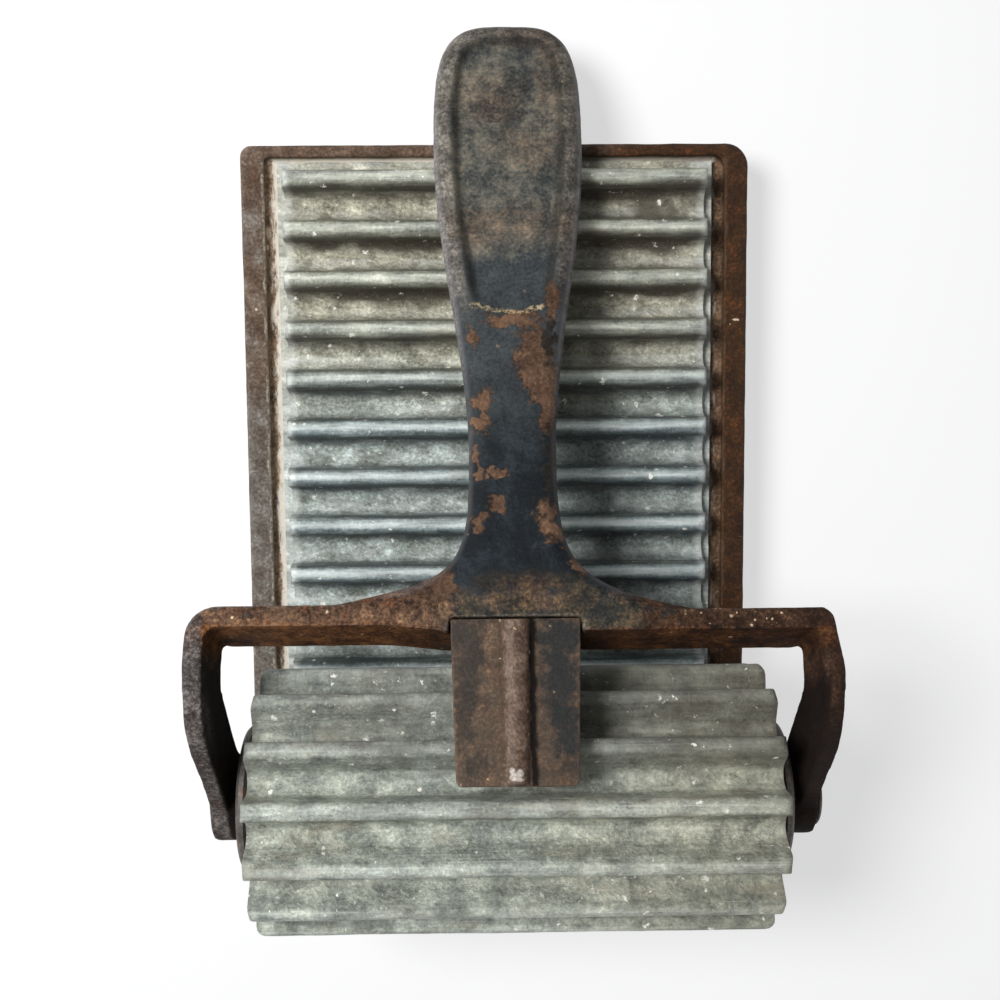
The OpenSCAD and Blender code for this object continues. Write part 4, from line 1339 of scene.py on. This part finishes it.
rib = put("rib", skin("rib", [rib_ring(i / 12) for i in range(13)]))
tongue_mesh = blend_shells("roller_tongue", [lip, heel, rib], voxel=0.26 * MM, passes=4)
wear(tongue_mesh, depth=0.14 * MM, size=2.2 * MM, seed=3)
tongue_mesh.transform(handle_frame)
tongue_paint = [(-8.6, 20.0, 3.0, 7.5), (-8.8, 11.0, 2.0, 4.0), (7.4, 17.5, 3.0, 8.5), (8.6, 8.0, 1.6, 4.0),
                (-7.0, 4.2, 2.0, 2.0), (-9.0, 25.0, 4.0, 3.4), (8.0, 25.2, 4.0, 3.2)]
rib_shine = [(-0.5, 2.0, 0.7, 0.5), (0.3, 2.5, 0.5, 0.6), (-0.9, 2.9, 0.35, 0.5), (0.2, 1.6, 0.6, 0.3)]


def rusted_tongue(name):
    """The same black japan, most of it gone: rust all over, with paint left beside the rib, a painted
    highlight on the rib's left side, and painted shade beside its right side and in hollows.
    """
    material, place = open_material(name)
    spoon_place = handle_place(place)
    x, a, _ = spoon_place.axes()
    edge = own_value(place, "edge")
    patch = place.cloud(0.3, 6, 0.62).strong()
    grain = place.cloud(1.7, 7, 0.76).strong()
    blend = 0.5 + 1.25 * (0.4 * patch + 0.6 * grain - 0.5)
    ragged = 0.7 * (patch - 0.5) + 0.5 * (place.cloud(0.9, 5, 0.7).strong() - 0.5)
    rust = rust_tones(blend, clamp(0.2 + 0.4 * place.cloud(0.14, 4).strong() + x * 0.045))
    olive = place.cloud(0.25, 6, 0.7).smooth(0.4, 0.62)
    rust = (0.7 * olive).mix(rust, grain.mix((50, 44, 36), (108, 94, 77)))
    rust = rust.node("ShaderNodeMix", {0: 0.4, 6: rust, 7: tone(98, 87, 77)}, out=2, data_type="RGBA")
    black = marks(spoon_place, tongue_paint, ragged, 0.6)
    left_on = 0.46 + 0.24 * x.smooth(-2, 4) + 0.26 * grain
    colour = (left_on * black).mix(rust, grain.mix((16, 22, 25), (50, 56, 58)))
    on_rib = 1 - abs(x).smooth(2.0, 2.6)
    colour = (0.6 * on_rib).mix(colour, (0.6 * grain + 0.4 * patch).ramp(
        (0.1, 58, 40, 32), (0.5, 108, 85, 72), (0.9, 158, 138, 124)))
    # A painted highlight on the rib's left shoulder.
    ridge = (x + 0.6 * (patch - 0.5)).smooth(-2.0, -1.4) * x.smooth(0.2, -0.8)
    colour = (0.3 * ridge * (0.3 + 0.7 * grain)).mix(colour, (164, 150, 141))
    # Painted shade in hollows and in a dark strip beside the rib's right side.
    hollow_shade = (-edge + 0.04 * (grain - 0.5)).smooth(0.03, 0.14)
    side = x + 0.5 * (patch - 0.5)
    shaded = side.smooth(1.9, 2.5) * side.smooth(3.7, 2.9)
    colour = clamp(0.35 * hollow_shade + 0.97 * shaded).mix(colour, (11, 6, 4))
    rubbed = clamp((edge + 0.05 * (grain - 0.5)).smooth(0.08, 0.3))
    colour = (0.35 * rubbed).mix(colour, (142, 122, 106))
    shine = 0.9 * marks(spoon_place, rib_shine, 0.8 * ragged, 0.45) * (0.35 + 0.65 * grain)
    colour = shine.mix(colour, (232, 222, 212))
    glint = clamp(specks(place, 2.2, 0.42, 0.3, 0.6 * (grain - 0.5)) * (1 - 0.6 * black))
    colour = glint.mix(colour, (220, 190, 152))
    close_material(place, colour, roughness=0.45 + 0.3 * grain - 0.15 * shine, metallic=0.25 * rubbed,
                   height=0.4 * grain + 0.3 * patch, depth=0.3, gloss=0.12)
    return material


mark_edges(tongue_mesh)
tongue_rust = rusted_tongue("rusted tongue iron")
tongue = add_piece("roller_tongue", tongue_mesh, tongue_rust, sharp=60)
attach(tongue, "handle")
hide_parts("tongue")

# Tongue rivets: two soft iron rivets that hold the tongue's heel to the crossbar.
# Each goes through both and is hammered to a dome at either end.
rivet_r = 1.5 * MM
rivet_head_r = 2.6 * MM
rivet_head_h = 1.3 * MM
rivet_spacing = 10.0 * MM
rivet_z = tongue_z - heel_h / 2


def build_rivets(tree, size):
    """A shank with a low dome on each end, turned from one strip of points, put at two places."""
    grid, u, v = sheet_of_points(tree, 41, 33)
    turn = u * (2 * math.pi)
    end = abs(v - 0.5) * 2
    shank_share, dome_share = 0.35, 0.4
    head = end.math("GREATER_THAN", shank_share)
    arch = (1 - clamp((end - dome_share) / (1 - dome_share))) * (math.pi / 2)
    radius = size["Shank radius"] + head * (size["Head radius"] * arch.math("SINE") - size["Shank radius"])
    reach = size["Grip length"] / 2 + size["Head height"] * arch.math("COSINE") * head
    shank_reach = clamp(end / shank_share) * size["Grip length"] / 2
    reach = shank_reach + head * (reach - shank_reach)
    place = tree.vector(radius * turn.math("COSINE"), (v - 0.5).math("SIGN") * reach,
                        radius * turn.math("SINE"))
    one = tree.node("GeometryNodeSetPosition", {"Geometry": grid, "Position": place})
    whole = tree.node("GeometryNodeMergeByDistance", {"Geometry": one, "Distance": 0.002 * MM})
    places = tree.node("GeometryNodeMeshLine", {
        "Count": 2, "Start Location": tree.vector(size["Spacing"] / -2),
        "Offset": tree.vector(size["Spacing"])})
    return tree.node("GeometryNodeInstanceOnPoints", {"Points": places, "Instance": whole})


rivet_iron = bare_iron("dark rivet iron", 0.25)
rivets = grow("tongue_fixing_rivets", build_rivets, {
    "Shank radius": rivet_r, "Head radius": rivet_head_r, "Head height": rivet_head_h,
    "Grip length": heel_t + bar_back - bar_front, "Spacing": rivet_spacing}, rivet_iron)
rivets.data.transform(handle_frame @ Matrix.Translation((0, (bar_front - heel_t + bar_back) / 2, rivet_z)))
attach(rivets, "handle")
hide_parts("tongue_rivets")

# Floor and light: a pale flat floor that fades to white, and a large soft lamp high at the left.
# The sky is white to the eye and gives the object a weak, even light.
# The floor keeps the object's shadow.
floor_mesh = bpy.data.meshes.new("floor")
floor_mesh.from_pydata([(-3, -3, 0), (3, -3, 0), (3, 3, 0), (-3, 3, 0)], [], [(0, 1, 2, 3)])
floor = put("floor", floor_mesh)


def seen_directly(tree):
    """1 for rays from the camera, or by way of a mirror or glass, and 0 for light that falls on things."""
    rays = tree.node("ShaderNodeLightPath").socket.node
    eye, mirror, glass = (Wire(tree.tree, rays.outputs[f"Is {way} Ray"])
                          for way in ("Camera", "Glossy", "Transmission"))
    return clamp(eye + mirror + glass)


pale = bpy.data.materials.new("pale floor")
pale.use_nodes = True
pale.node_tree.nodes.clear()
pale_tree = Wire(pale.node_tree)
matt = pale_tree.node("ShaderNodeBsdfDiffuse", {"Color": (0.9, 0.9, 0.9, 1)})
glow = pale_tree.node("ShaderNodeEmission", {"Color": (1, 1, 1, 1), "Strength": 1.0})
floor_place = pale_tree.node("ShaderNodeTexCoord", out="Object")
far_off = floor_place.node("ShaderNodeVectorMath", {0: floor_place}, out="Value", operation="LENGTH")
lit = (0.62 + 0.38 * far_off.smooth(0.17, 0.5)) * seen_directly(pale_tree)
floor_mix = pale_tree.node("ShaderNodeMixShader", {0: lit, 1: matt, 2: glow})
pale_tree.node("ShaderNodeOutputMaterial", {"Surface": floor_mix})
floor_mesh.materials.append(pale)

world = bpy.data.worlds.new("studio")
bpy.context.scene.world = world
world.use_nodes = True
world.node_tree.nodes.clear()
sky = Wire(world.node_tree)
white = seen_directly(sky)
sky_light = sky.node("ShaderNodeBackground", {"Color": white.mix((0.93, 0.96, 1, 1), (1, 1, 1, 1)),
                                              "Strength": 0.2 + 0.8 * white})
sky.node("ShaderNodeOutputWorld", {"Surface": sky_light})

lamp = put("key lamp", bpy.data.lights.new("key lamp", "AREA"))
lamp.data.shape = "DISK"
lamp.data.size = 0.2
lamp.data.energy = 3.1
lamp.location = (-0.24, 0.11, 0.45)
lamp_target = Vector((0, 0, 0.02))
lamp.rotation_euler = (lamp_target - lamp.location).to_track_quat("-Z", "Y").to_euler()

# Camera: it stands nearly straight above the object and leans a little towards the roller.
# Its picture is square, with the focal length given in shares of the picture's width.
camera_at = Vector((-2.99, 21.71, 250.52)) * MM
lean_side = math.radians(0.84)
lean_down = math.radians(5.32)
roll = math.radians(-0.45)
focal_share = 1.1928
sight = Vector((math.sin(lean_side), -math.sin(lean_down), 0))
sight.z = -math.sqrt(1 - sight.length_squared)
level_up = (Vector((0, 1, 0)) - sight * sight.y).normalized()
level_right = sight.cross(level_up)
right = math.cos(roll) * level_right + math.sin(roll) * level_up
up = math.cos(roll) * level_up - math.sin(roll) * level_right
camera = put("camera", bpy.data.cameras.new("camera"))
camera.data.sensor_width = 36.0
camera.data.lens = focal_share * camera.data.sensor_width
camera.data.clip_start = 0.01
camera.data.clip_end = 20.0
camera.matrix_world = Matrix((right, up, -sight)).transposed().to_4x4()
camera.location = camera_at
bpy.context.scene.camera = camera
bpy.context.scene.view_settings.view_transform = "Standard"
